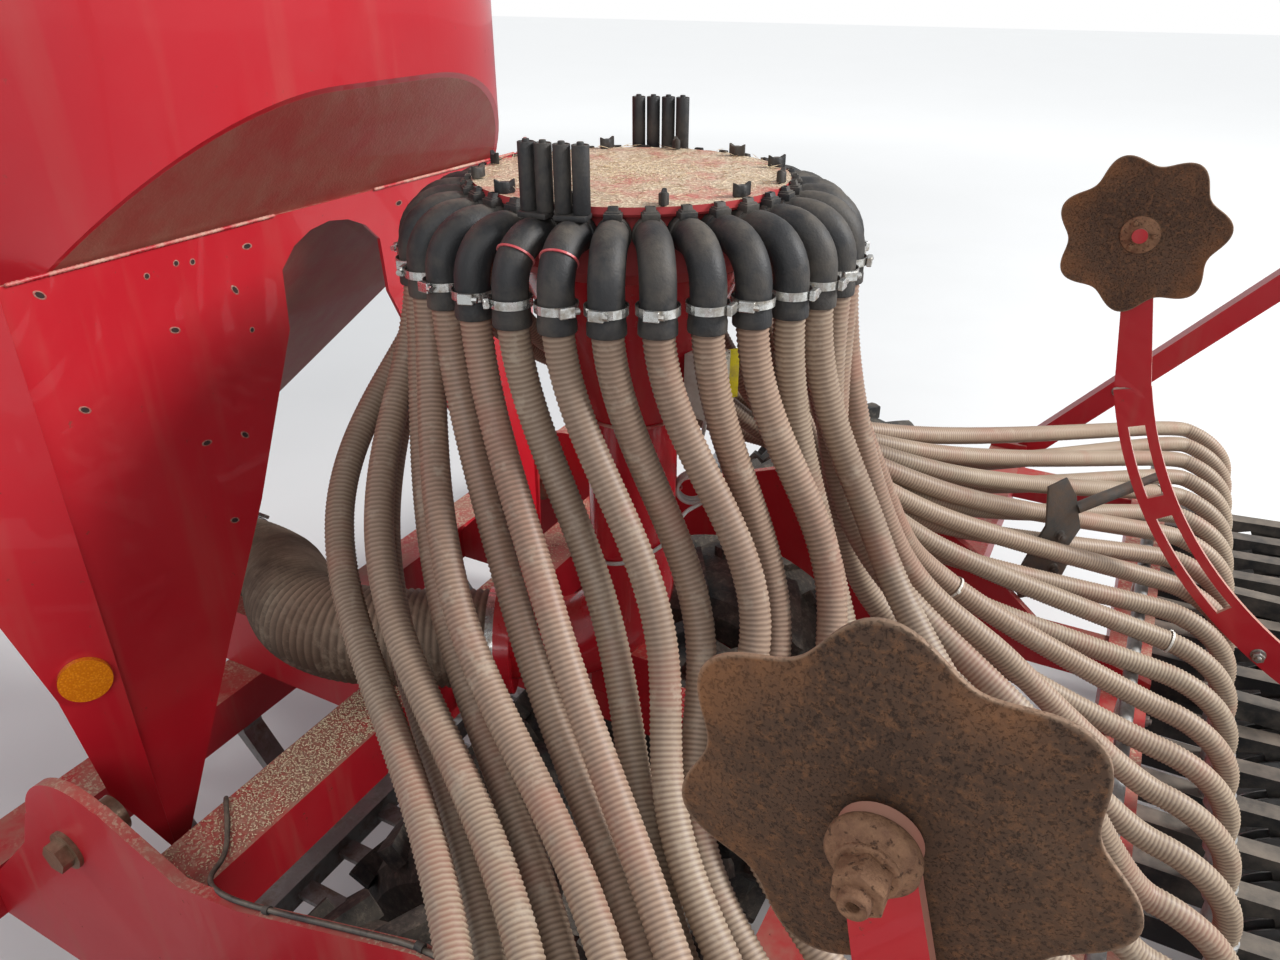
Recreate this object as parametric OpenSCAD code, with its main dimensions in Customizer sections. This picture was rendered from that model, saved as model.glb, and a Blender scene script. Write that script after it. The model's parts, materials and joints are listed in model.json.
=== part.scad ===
// Trailed air seed drill with its marker arms folded up, parked on its packer tyres and its jack.
// X runs rearwards, Y to the machine's right, Z up. The ground is z = 0.
// Places along the machine are measured from the seed tower's axis.

/* [Rows] */
// Seed rows across the machine
row_count = 32; // [24:4:32]
// Distance between two rows
row_pitch = 125; // [120:1:130]

/* [Packer] */
// Outer diameter of a packer tyre over its lugs
tyre_d = 760; // [740:2:770]
// Width of a packer tyre
tyre_w = 400; // [360:5:420]
// Distance between two packer tyres
tyre_pitch = 500; // [480:5:500]
// Packer tyres on each side
tyres_side = 4; // [2:1:4]
// Height of a tyre lug
lug_h = 30; // [20:1:36]
// Lugs round one half of a tyre
lug_count = 16; // [10:1:20]
// Rim diameter
rim_d = 400; // [380:5:430]

/* [Coulters] */
// Diameter of an opener disc
opener_d = 340; // [320:5:350]
// Thickness of an opener disc
opener_t = 4; // [3:0.5:5]
// Diameter of a press wheel
press_d = 320; // [300:5:340]
// Width of a press wheel
press_w = 50; // [40:1:60]
// Clearance under the raised discs
raised_gap = 230; // [200:5:240]
// Width of a coulter arm
arm_w = 45; // [40:1:50]

/* [Seed tower] */
// Height of the distributor head's cover
head_z = 1900; // [1850:10:1950]
// Radius of the distributor head
head_r = 247; // [235:1:255]
// Radius of the ring of hoses under the head
hose_ring_r = 343; // [335:1:350]
// Outside diameter of a seed hose
hose_d = 45; // [38:1:48]
// Outside diameter of the riser pipe
riser_d = 160; // [150:2:180]
// Outside diameter of the big air hose
duct_d = 195; // [180:5:205]

/* [Hopper] */
// Height of the lower edge of the hopper's upright walls
rim_z = 1820; // [1800:5:1850]
// Height of the hopper's upright walls
wall_h = 800; // [600:10:900]
// Half the hopper's width
hopper_half = 700; // [650:10:760]
// Length of the hopper
hopper_len = 2260; // [2100:10:2300]
// Thickness of the hopper's sheet
sheet = 8; // [6:0.5:10]

/* [Markers] */
// Diameter of a tramline marker's disc
tram_disc_d = 330; // [300:5:360]
// Diameter of a side marker's disc
side_disc_d = 400; // [360:5:420]
// Lobes round a marker disc
lobes = 7; // [6:1:10]

/* [Hidden] */
$fn = 48;

// Clearances
pin_gap = 0.05;
seat_gap = 0.3;
move_gap = 5;

// Working width and the ends of the machine
half_width = row_count * row_pitch / 2;
half_rows = row_count / 2;
row_free = 72;
front_x = -5100;
rear_x = 2200;
mid_x = (front_x + rear_x) / 2;
rail_half = half_width - 2;

// Packer
axle_x = -80;
axle_z = tyre_d / 2;
axle_d = 70;
tyre_gap = 30;

// Frame beams
spine_w = 160;
spine_z0 = 560;
spine_z1 = 740;

drawbar_w = 120;
leg_foot_z = 690;
rail_h = 120;
rail_top = 660;
front_rail_x = 450;
rear_rail_x = 920;
rear_rail_w = 100;
cross_x = -450;
cross_w = 120;
cross_z0 = 740;
cross_z1 = 860;
mid_beam_x = -1120;
mid_beam_w = 120;
mid_beam_z1 = spine_z0;
mid_beam_z0 = 440;

// Side arms, which reach from the front frame over the packer to the coulter rails
side_arm_y = 780;
side_arm_t = 20;
side_flange_w = 60;
side_flange_t = 8;
pin_x = -690;
pin_z = 830;
pin_d = 40;
pin_boss_d = 74;
boss_y0 = 696;

// Hopper
hopper_x1 = -470;
hopper_x0 = hopper_x1 - hopper_len;
hopper_mid = (hopper_x0 + hopper_x1) / 2;
corner_r = 580;
outlet_z = 1050;
outlet_x = -1570;
outlet_l = 500;
outlet_w = 260;
hopper_top = rim_z + wall_h;
lid_hinge_x = [hopper_mid - 450, hopper_mid + 450];
lid_pin_y = hopper_half + 50;
lid_pin_z = hopper_top + 10;
lid_pin_d = 16;
lid_knuckle_l = 60;
leg_x = -668;
front_beam_x = 2 * hopper_mid - leg_x - 4;
spine_front = front_beam_x - 164;
leg_t = 8;
leg_top = 1790;

// Air system
pipe_d = 160;
pipe_z = 860;
fan_x = -3150;
fan_z = 1060;
fan_r = 290;
fan_w = 180;
fan_shaft_d = 30;
duct_z = 1000;
duct_turn = atan2(125, 235);
elbow_reach = 266;

// Tower
bend_r = 160;
cone_z0 = 1500;
chamber_z = 1780;
cover_t = 10;
base_t = 60;
elbow_d = 52;
elbow_bend = 55;
outlet_pipe_d = 44;
outlet_pipe_z = head_z - cover_t - outlet_pipe_d / 2 - 4;
elbow_drop = 12;
hose_z = outlet_pipe_z - elbow_bend - elbow_drop;

// Coulters
hub_x = 1330;
hub_z = raised_gap + opener_d / 2;
press_x = 1700;
press_z = raised_gap + 20 + press_d / 2;
opener_pin_d = 24;
press_pin_d = 20;
coulter_top = 600;
seed_tube_x = 1110;
seed_tube_d = 30;
seed_tube_top = 700;

// Tramline markers
tram_row = 6;
tram_half = (tram_row + 0.5) * row_pitch + row_free;
tram_pivot = [1400, 700];
tram_arc = [1760, 1630];
tram_arc_r = 1020;
tram_hub = [717, 1700];
tram_lean = 3;
tram_disc_y = tram_half - 16;
tram_band = 76;
tram_t = 12;
tram_pin_d = 30;
tram_stub = 30;

// Side markers
side_pivot = [450, 2060, 590];
side_tilt = 48.4;
side_len = 1880;
side_tube = 70;
side_barrel_d = 64;
side_barrel_h = 90;

// Jack
jack_x = -4250;
jack_w = 80;
jack_wall = 6;
jack_y = drawbar_w / 2 + 30 + jack_w / 2;
jack_z0 = 330;
jack_z1 = 1000;
jack_leg_top = 560;
jack_leg_w = jack_w - 2 * jack_wall - 1;

function pol(r, a) = [r * cos(a), r * sin(a)];
function row_y(k) = (k - half_rows + 0.5) * row_pitch;
function wavy(r, n, depth) = [for (i = [0 : n * 8 - 1]) pol(r * (1 - depth * (1 + cos(i * 45)) / 2), i * 45 / n)];

// Rings of points round a path, joined into one closed tube
function cross_of(d) = abs(d[2]) > 0.9 ? [1, 0, 0] : [0, 0, 1];
function unit(v) = v / norm(v);
function side_dir(d) = unit(cross(d, cross_of(d)));
function path_dir(p, i) = unit(p[min(i + 1, len(p) - 1)] - p[max(i - 1, 0)]);
function carried(p, i) = i == 0 ? side_dir(path_dir(p, 0)) :
    let (d = path_dir(p, i), s = carried(p, i - 1)) unit(s - (s * d) * d);
function ring(c, d, s, r, n) = [for (k = [0 : n - 1]) c + r * (cos(360 * k / n) * s + sin(360 * k / n) * cross(d, s))];

module tube_along(path, r, sides) {
    count = len(path);
    points = [for (i = [0 : count - 1]) each ring(path[i], path_dir(path, i), carried(path, i), r, sides)];
    walls = [for (i = [0 : count - 2]) for (k = [0 : sides - 1]) each
        let (a = i * sides + k, b = i * sides + (k + 1) % sides)
        [[a, a + sides, b + sides], [a, b + sides, b]]];
    start = [[for (k = [0 : sides - 1]) k]];
    end = [[for (k = [sides - 1 : -1 : 0]) (count - 1) * sides + k]];
    polyhedron(points = points, faces = concat(walls, start, end));
}

module at(p) { translate(p) children(); }
module both_sides() { children(); mirror([0, 1, 0]) children(); }
module along_y(p, len, d) { translate([p[0], p[1], p[2]]) rotate([90, 0, 0]) cylinder(d = d, h = len, center = true); }
module side_plate(y, t) { translate([0, y + t / 2, 0]) rotate([90, 0, 0]) linear_extrude(t) children(); }
module box(x0, x1, y0, y1, z0, z1) { translate([x0, y0, z0]) cube([x1 - x0, y1 - y0, z1 - z0]); }

// Front frame under the hopper
module main_frame() {
    color("firebrick") {
        box(spine_front, cross_x - cross_w / 2, -spine_w / 2, spine_w / 2, spine_z0, spine_z1);
        box(front_beam_x - 60, front_beam_x + 60, -hopper_half, hopper_half, spine_z0 + 20, leg_foot_z);
        for (x = [-2350, -1850, -1250]) difference() {
            box(x, x + 60, -60, 60, spine_z1, pipe_z - 40);
            translate([x - 1, 0, pipe_z]) rotate([0, 90, 0]) cylinder(d = pipe_d, h = 62);
        }
        box(mid_beam_x - mid_beam_w / 2, mid_beam_x + mid_beam_w / 2, -rail_half, rail_half, mid_beam_z0, mid_beam_z1);
    }
}

module drawbar() {
    color("firebrick") box(fan_x - 60, spine_front, -50, 50, spine_z1 - 40, fan_z - fan_r);
    color("firebrick") hull() {
        box(spine_front - 20, spine_front, -drawbar_w / 2, drawbar_w / 2, spine_z0, spine_z1);
        box(front_x + 260, front_x + 300, -drawbar_w / 2, drawbar_w / 2, 480, 600);
    }
}

module hitch_ring() {
    color("dimgray") difference() {
        union() {
            translate([front_x + 60, 0, 515]) cylinder(r = 60, h = 50);
            box(front_x + 60, front_x + 260, -35, 35, 515, 565);
        }
        translate([front_x + 60, 0, 500]) cylinder(r = 25.5, h = 80);
    }
}

module jack_tube() {
    color("firebrick") difference() {
        translate([jack_x, jack_y, (jack_z0 + jack_z1) / 2]) cube([jack_w, jack_w, jack_z1 - jack_z0], center = true);
        translate([jack_x, jack_y, (jack_z0 + jack_z1) / 2 - 10])
            cube([jack_w - 2 * jack_wall, jack_w - 2 * jack_wall, jack_z1 - jack_z0], center = true);
    }
    color("firebrick") box(jack_x - 60, jack_x + 60, drawbar_w / 2, jack_y - jack_w / 2, 500, 620);
}

module jack_leg() {
    color("silver") {
        box(jack_x - jack_leg_w / 2, jack_x + jack_leg_w / 2, jack_y - jack_leg_w / 2, jack_y + jack_leg_w / 2, 12, jack_leg_top);
        box(jack_x - 110, jack_x + 110, jack_y - 110, jack_y + 110, 0, 12);
    }
}

// Hopper outline with round corners, shrunk by an inset
module hopper_outline(inset) {
    r = corner_r - inset;
    for (sx = [-1, 1]) for (sy = [-1, 1])
        translate([hopper_mid + sx * (hopper_len / 2 - corner_r), sy * (hopper_half - corner_r)]) circle(r = r);
    translate([hopper_mid, 0]) square([hopper_len - 2 * corner_r, 2 * (hopper_half - inset)], center = true);
    translate([hopper_mid, 0]) square([hopper_len - 2 * inset, 2 * (hopper_half - corner_r)], center = true);
}

// The four slopes of the funnel: the way each faces, its distance from the outlet's middle, its angle
rear_slope = atan2(leg_top + seat_gap - outlet_z, leg_x - outlet_x - outlet_l / 2);
front_slope = atan2(leg_top + seat_gap - outlet_z, outlet_x - outlet_l / 2 - 2 * hopper_mid + leg_x);
side_slope = atan2(rim_z - outlet_z, hopper_half - outlet_w / 2);
slopes = [[0, outlet_l / 2, rear_slope], [180, outlet_l / 2, front_slope], [90, outlet_w / 2, side_slope],
    [-90, outlet_w / 2, side_slope]];
module slope_slab(s, low, high) {
    translate([outlet_x, 0, outlet_z]) rotate([0, 0, s[0]]) translate([s[1], 0, 0]) rotate([0, -s[2], 0])
        translate([-3000, -3000, low]) cube([6000, 6000, high - low]);
}

// Wall ring, cut off below along the slopes, with the fixed halves of the lid's two hinges
module hopper_body() {
    color("crimson") {
        difference() {
            translate([0, 0, leg_top - 400]) linear_extrude(hopper_top - leg_top + 400) difference() {
                hopper_outline(0);
                hopper_outline(sheet);
            }
            for (s = slopes) slope_slab(s, -3000, 0);
        }
        for (x = lid_hinge_x) {
            for (s = [-1, 1]) translate([x + s * (lid_knuckle_l / 2 + 7), 0, 0])
                rotate([90, 0, 90]) translate([0, 0, -5]) linear_extrude(10)
                    polygon([[hopper_half, hopper_top - 60], [hopper_half, hopper_top - 6], [lid_pin_y - 24, hopper_top - 6],
                        [lid_pin_y - 24, lid_pin_z + 14], [lid_pin_y + 14, lid_pin_z + 14], [lid_pin_y + 14, lid_pin_z - 14]]);
            translate([x, lid_pin_y, lid_pin_z]) rotate([0, 90, 0]) cylinder(d = lid_pin_d, h = lid_knuckle_l + 20, center = true);
        }
    }
}

module hopper_funnel() {
    color("crimson") for (k = [0 : 3]) difference() {
        intersection() {
            translate([0, 0, outlet_z]) linear_extrude(hopper_top - outlet_z - 200) hopper_outline(sheet + seat_gap);
            slope_slab(slopes[k], 0, sheet);
        }
        for (j = [0 : 3]) if (j != k) slope_slab(slopes[j], -3000, 0);
    }
}

// Sieve in the hopper, a grid of bars in two layers
module hopper_grid() {
    z = hopper_top - 140;
    color("dimgray") {
        translate([0, 0, z]) linear_extrude(30) intersection() {
            hopper_outline(sheet + seat_gap);
            for (k = [-5 : 5]) translate([hopper_mid - hopper_len / 2, k * 110 - 4]) square([hopper_len, 8]);
        }
        translate([0, 0, z - 30]) linear_extrude(30) intersection() {
            hopper_outline(sheet + seat_gap);
            for (k = [-2 : 2]) translate([hopper_mid + k * 400 - 4, -hopper_half]) square([8, 2 * hopper_half]);
        }
    }
}

module hopper_lid() {
    z0 = hopper_top + seat_gap;
    color("crimson") {
        translate([0, 0, z0]) linear_extrude(12) hopper_outline(-16);
        translate([0, 0, z0 + 12]) linear_extrude(28) hopper_outline(70);
        for (x = lid_hinge_x) translate([x, 0, 0]) difference() {
            union() {
                box(-lid_knuckle_l / 2, lid_knuckle_l / 2, hopper_half - 40, lid_pin_y, lid_pin_z - 4, lid_pin_z + 12);
                translate([0, lid_pin_y, lid_pin_z]) rotate([0, 90, 0]) cylinder(d = 32, h = lid_knuckle_l, center = true);
            }
            translate([0, lid_pin_y, lid_pin_z]) rotate([0, 90, 0])
                cylinder(d = lid_pin_d + 2 * pin_gap, h = 2 * lid_knuckle_l, center = true);
        }
    }
}

// One leg of the hopper: a flat face with a folded cheek, tapering to the pin
leg_inner = [[126, leg_top], [139, 1580], [279, 1280], [415, 1037], [529, 825], [600, leg_foot_z]];
leg_crease = 632;
cheek_turn = 120;
module leg(x_face) {
    translate([x_face, 0, 0]) rotate([90, 0, 90]) linear_extrude(leg_t)
        polygon(concat(leg_inner, [[leg_crease, leg_foot_z], [leg_crease, leg_top]]));
    translate([x_face + leg_t, leg_crease, 0]) rotate([0, 0, cheek_turn]) rotate([90, 0, 0]) linear_extrude(leg_t)
        polygon([[0, leg_foot_z], [0, leg_top], [250, leg_top], [138, 1276], [98, 1100], [73, 877]]);
}

// Two legs and the arched plate that joins their tops
module leg_pair() {
    both_sides() leg(leg_x);
    translate([leg_x, 0, 0]) rotate([90, 0, 90]) linear_extrude(leg_t) polygon([[-130, leg_top], [130, leg_top],
        [134, 1690], [95, 1728], [50, 1748], [0, 1755], [-50, 1748], [-95, 1728], [-134, 1690]]);
}
module rear_legs() { color("crimson") leg_pair(); }
module front_legs() { color("crimson") translate([2 * hopper_mid, 0, 0]) mirror([1, 0, 0]) leg_pair(); }

module leg_pins() {
    color("sandybrown") both_sides() {
        along_y([pin_x, (boss_y0 + side_arm_y - side_arm_t / 2) / 2, pin_z], side_arm_y - side_arm_t / 2 - boss_y0, pin_boss_d);
        along_y([pin_x, side_arm_y + 4, pin_z], side_arm_t + 52, pin_d - 2 * pin_gap);
        along_y([pin_x, side_arm_y + side_arm_t / 2 + 4, pin_z], 8, 76);
        translate([pin_x, side_arm_y + side_arm_t / 2 + 8, pin_z]) rotate([-90, 0, 0]) cylinder(d = 58, h = 22, $fn = 6);
    }
}

module metering_unit() {
    color("dimgray") {
        box(outlet_x - outlet_l / 2, outlet_x + outlet_l / 2, -outlet_w / 2, outlet_w / 2, pipe_z + pipe_d / 2, outlet_z);
        translate([outlet_x, outlet_w / 2, (pipe_z + pipe_d / 2 + outlet_z) / 2]) rotate([-90, 0, 0]) cylinder(d = 90, h = 120);
    }
}

module fan_housing() {
    color("firebrick") difference() {
        union() {
            along_y([fan_x, 0, fan_z], fan_w, 2 * fan_r);
            box(fan_x, fan_x + fan_r + 60, -fan_w / 2, fan_w / 2, fan_z - fan_r, fan_z - fan_r + 180);
        }
        along_y([fan_x, 0, fan_z], fan_w - 2 * sheet, 2 * fan_r - 2 * sheet);
        along_y([fan_x, -fan_w / 2, fan_z], 100, 300);
    }
    color("dimgray") {
        translate([fan_x, fan_w / 2, fan_z]) rotate([-90, 0, 0]) cylinder(d = 110, h = 110);
        along_y([fan_x, fan_w / 2 - 44, fan_z], 72, fan_shaft_d);
    }
}

module fan_wheel() {
    color("silver") {
        difference() {
            union() {
                along_y([fan_x, fan_w / 2 - 22, fan_z], 6, 480);
                along_y([fan_x, fan_w / 2 - 45, fan_z], 50, 80);
            }
            along_y([fan_x, 0, fan_z], 400, fan_shaft_d + 2 * pin_gap);
        }
        for (k = [0 : 9]) translate([fan_x, 0, fan_z]) rotate([0, k * 36, 0])
            box(150, 235, -fan_w / 2 + 24, fan_w / 2 - 24, -3, 3);
    }
}

module fan_pipe() {
    z = fan_z - fan_r + 90;
    color("gray") translate([fan_x + fan_r + 60, 0, pipe_z]) rotate([0, 90, 0])
        cylinder(d = pipe_d, h = duct_path[0][0] - fan_x - fan_r - 60);
}

duct_path = concat([[-1140, 0, 860], [-1070, 0, 860], [-1000, -16, 868], [-930, -52, 892], [-860, -103, 924], [-790, -155, 956],
    [-710, -215, 985], [-630, -257, 998], [-540, -262, 1000], [-450, -236, 1000]],
    [for (r = [elbow_reach + 150, elbow_reach]) [-r * cos(duct_turn), -r * sin(duct_turn), duct_z]]);
module air_duct() {
    color("tan") tube_along(duct_path, duct_d / 2, 12);
}

// Elbow, riser pipe and the cone under the head
module riser() {
    color("crimson") {
        translate([0, 0, duct_z + bend_r]) cylinder(d = riser_d, h = cone_z0 - duct_z - bend_r);
        translate([0, 0, cone_z0]) cylinder(d1 = riser_d, d2 = 2 * 190, h = chamber_z - cone_z0);
        rotate([0, 0, 180 + duct_turn]) {
            translate([bend_r, 0, duct_z + bend_r]) rotate([90, 0, 0]) rotate([0, 0, 180])
                rotate_extrude(angle = 90) translate([bend_r, 0]) circle(d = riser_d);
            translate([bend_r, 0, duct_z]) rotate([0, 90, 0]) cylinder(d = riser_d, h = elbow_reach - bend_r - 30);
            translate([elbow_reach - 30, 0, duct_z]) rotate([0, 90, 0]) cylinder(d = 220, h = 30 - seat_gap);
        }
        box(-70, 70, -50, 50, 880, duct_z);
    }
}

module distributor_head() {
    color("rosybrown") {
        translate([0, 0, chamber_z]) cylinder(r1 = 200, r2 = head_r - 25, h = 20);
        translate([0, 0, chamber_z + 20]) cylinder(r = head_r - 25, h = head_z - cover_t - chamber_z - 20);
        translate([0, 0, head_z - cover_t]) cylinder(r = head_r, h = cover_t);
    }
}

outlet_turn = 360 / row_count;
ring_turn = 6;
module outlet_elbows() {
    color("black") for (k = [0 : row_count - 1]) rotate([0, 0, (k + 0.5) * outlet_turn + ring_turn]) {
        translate([head_r - 15, 0, outlet_pipe_z]) rotate([0, 90, 0])
            cylinder(d = outlet_pipe_d, h = hose_ring_r - head_r + 15 - elbow_bend);
        translate([hose_ring_r - elbow_bend, 0, outlet_pipe_z - elbow_bend]) rotate([90, 0, 0])
            rotate_extrude(angle = 90) translate([elbow_bend, 0]) circle(d = elbow_d);
        translate([hose_ring_r, 0, hose_z]) cylinder(d = elbow_d, h = elbow_drop);
    }
}

// Outlets with a shut-off motor, for the tramlines
valve_outlets = [8, 9, 23, 24];
valve_x = head_r + 22;
valve_d = 24;
module tramline_valves() {
    z0 = outlet_pipe_z + outlet_pipe_d / 2;
    color("black") for (k = valve_outlets) rotate([0, 0, (k + 0.5) * outlet_turn + ring_turn]) {
        translate([valve_x - 14, 1 - valve_d, z0]) cube([32, 2 * valve_d - 2, 8]);
        for (s = [-1, 1]) translate([valve_x, s * (valve_d / 2 + 1), z0]) cylinder(d = valve_d, h = 92);
    }
}

// A seed hose falls from its elbow, swings outwards and rearwards in one of two layers, comes in over its
// row and bends down into its seed tube. Its guide points are the elbow, the bulge, the saddle and the row.
function herm(a, ta, b, tb, t) = (2 * pow(t, 3) - 3 * t * t + 1) * a + (pow(t, 3) - 2 * t * t + t) * ta
    + (3 * t * t - 2 * pow(t, 3)) * b + (pow(t, 3) - t * t) * tb;
function side_of(k) = k < half_rows ? -1 : 1;
function nth(k) = k < half_rows ? half_rows - 1 - k : k - half_rows;
function outlet_angle(k) = side_of(k) * (nth(k) + 0.5) * outlet_turn + ring_turn;
function hose_path(k) =
    let (side = side_of(k), n = nth(k), u = n / (half_rows - 1), layer = n % 2, y = row_y(k), a = outlet_angle(k),
        low = side > 0 ? 1 - u : 0, last = side > 0 && n == half_rows - 1 ? 30 : 0,
        elbow = [hose_ring_r * cos(a), hose_ring_r * sin(a), hose_z],
        bulge_r = hose_ring_r + 72 + 60 * u + 44 * layer, steep = 150 * sin(180 * min(u / 0.65, 1)),
        bulge = [bulge_r * cos(0.74 * a), bulge_r * sin(0.74 * a), 1375 + 40 * layer - 120 * low - last],
        saddle = [760 - 480 * u - steep, y / (1 + 1.15 * u), 1120 - 40 * u + 58 * layer - 110 * low],
        over_row = [seed_tube_x - 135, y, seed_tube_top + 172],
        end = [seed_tube_x, y, seed_tube_top + 20],
        t_bulge = (saddle - elbow) * 0.55, t_saddle = (over_row - bulge) * 0.5, t_row = [190, 0, -40],
        below = elbow - [0, 0, 14], above = end + [0, 0, 14])
    concat([elbow, below],
        [for (i = [1, 2]) herm(below, [0, 0, -480], bulge, t_bulge, i / 3)],
        [for (i = [0 : 2]) herm(bulge, t_bulge, saddle, t_saddle, i / 3)],
        [for (i = [0 : 3]) herm(saddle, t_saddle, over_row, t_row, i / 4)],
        [for (i = [0 : 3]) herm(over_row, t_row, above, [0, 0, -230], i / 3)],
        [end]);
module seed_hoses() {
    color("tan") for (k = [0 : row_count - 1]) tube_along(hose_path(k), hose_d / 2, 8);
}

// Bar under the hoses, on posts on the rear coulter rail
rest_x = rear_rail_x - 15;
rest_z = 848;
rest_d = 30;
module hose_rest() {
    color("silver") {
        along_y([rest_x, 0, rest_z], 2 * rail_half - 400, rest_d);
        for (y = [-1750, -1150, -600, 600, 1150, 1750]) box(rest_x - 6, rest_x + 6, y - 20, y + 20, rail_top, rest_z);
    }
}

// Cross beam in front of the packer, the two coulter rails and what ties them
module rear_frame() {
    color("firebrick") {
        box(cross_x - cross_w / 2, cross_x + cross_w / 2, side_arm_t / 2 - side_arm_y, side_arm_y - side_arm_t / 2,
            cross_z0, cross_z1);
        box(cross_x, front_rail_x, -40, 40, 800, 880);
        box(front_rail_x - rail_h / 2, front_rail_x + rail_h / 2, -rail_half, rail_half, rail_top - rail_h, rail_top);
        box(front_rail_x - 50, front_rail_x + 50, -40, 40, rail_top, 800);
        box(rear_rail_x - rear_rail_w / 2, rear_rail_x + rear_rail_w / 2, -rail_half, rail_half, rail_top - rear_rail_w, rail_top);
        for (y = [-1850, -950, 0, 950, 1850])
            box(front_rail_x, rear_rail_x, y - 40, y + 40, rail_top - 90, rail_top - 10);
        for (y = [-1500, -500, 500, 1500]) difference() {
            side_plate(y, 20) polygon([[front_rail_x, 560], [front_rail_x, 640], [300, 560], [axle_x - 50, 420], [axle_x - 50, 330], [100, 330]]);
            along_y([axle_x, y, axle_z], 40, axle_d + 2 * pin_gap);
        }
    }
}

// Outline of a side arm in the X-Z plane
module arm_outline() {
    difference() {
        union() {
            polygon([[-1060, 440], [-1060, 545], [-850, 760], [-800, 860], [-560, 980], [-390, 906], [-252, 933], [109, 1068],
                [300, 1060], [520, 930], [720, 760], [rear_rail_x + 50, rail_top + 30], [rear_rail_x + 50, rail_top],
                [330, rail_top], [330, 440]]);
            translate([pin_x + 60, pin_z - 10]) circle(r = 170);
        }
        translate([axle_x, axle_z]) circle(r = tyre_d / 2 + tyre_gap);
        translate([axle_x, 0]) square([2 * (tyre_d / 2 + tyre_gap), 2 * axle_z], center = true);
        polygon([[300, 440], [300, rail_top - 0.01], [340, rail_top - 0.01], [340, 440]]);
    }
}

module side_arm_right() {
    color("firebrick") difference() {
        side_plate(side_arm_y, side_arm_t) arm_outline();
        along_y([pin_x, side_arm_y, pin_z], 40, pin_d);
    }
}
module side_arm_left() { mirror([0, 1, 0]) side_arm_right(); }

module scrapers() {
    color("dimgray") {
        box(-640, -580, 30 - tyres_side * tyre_pitch, tyres_side * tyre_pitch - 30, 380, 440);
        for (k = [0 : 4 * 2 * tyres_side - 1])
            box(-580, axle_x - tyre_d / 2 - 12, (k - 4 * tyres_side + 0.5) * tyre_pitch / 4 - 22, (k - 4 * tyres_side + 0.5) * tyre_pitch / 4 + 22, 400, 412);
    }
}

module leveller() {
    color("dimgray") for (k = [0 : 13]) side_plate((k - 6.5) * 280, 60)
        polygon([[-1060, 440], [-1110, 440], [-1000, 300], [-905, 190], [-890, 195], [-975, 310], [-1060, 430]]);
}

// Tyres, each a carcass with two rows of slanted lugs
module tyre(y) {
    carcass_r = tyre_d / 2 - lug_h;
    translate([axle_x, y, axle_z]) rotate([90, 0, 0]) {
        rotate_extrude() polygon([
            [rim_d / 2, -tyre_w / 2 + 30], [rim_d / 2 + 30, -tyre_w / 2], [carcass_r - 50, -tyre_w / 2], [carcass_r - 12, -tyre_w / 2 + 25],
            [carcass_r, -tyre_w / 2 + 80], [carcass_r, tyre_w / 2 - 80],
            [carcass_r - 12, tyre_w / 2 - 25], [carcass_r - 50, tyre_w / 2], [rim_d / 2 + 30, tyre_w / 2], [rim_d / 2, tyre_w / 2 - 30]
        ]);
        intersection() {
            cylinder(r = tyre_d / 2, h = tyre_w, center = true);
            for (s = [0, 1]) for (k = [0 : lug_count - 1]) rotate([0, 0, (k + s / 2) * 360 / lug_count])
                translate([carcass_r + lug_h / 2 - 10, 0, (s - 0.5) * tyre_w / 2]) rotate([(s - 0.5) * 60, 0, 0])
                    cube([lug_h + 24, 38, tyre_w / 2 + 24], center = true);
        }
    }
}
module tyres_right() { color("dimgray") for (k = [0 : tyres_side - 1]) tyre((k + 0.5) * tyre_pitch); }
module tyres_left() { mirror([0, 1, 0]) tyres_right(); }

module rim(y) {
    translate([axle_x, y, axle_z]) rotate([90, 0, 0]) {
        rotate_extrude() polygon([
            [rim_d / 2 - 40, -60], [rim_d / 2 - 8, -60], [rim_d / 2 - 8, -tyre_w / 2 + 30], [rim_d / 2, -tyre_w / 2 + 30],
            [rim_d / 2, tyre_w / 2 - 30], [rim_d / 2 - 8, tyre_w / 2 - 30], [rim_d / 2 - 8, -48], [rim_d / 2 - 40, -48]
        ]);
        translate([0, 0, -60]) cylinder(r = rim_d / 2 - 38, h = 12);
    }
}
module rims_right() {
    y1 = (tyres_side - 0.5) * tyre_pitch + 120;
    color("silver") {
        for (k = [0 : tyres_side - 1]) rim((k + 0.5) * tyre_pitch);
        along_y([axle_x, (y1 + 20) / 2, axle_z], y1 - 20, axle_d);
    }
}
module rims_left() { mirror([0, 1, 0]) rims_right(); }

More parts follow.
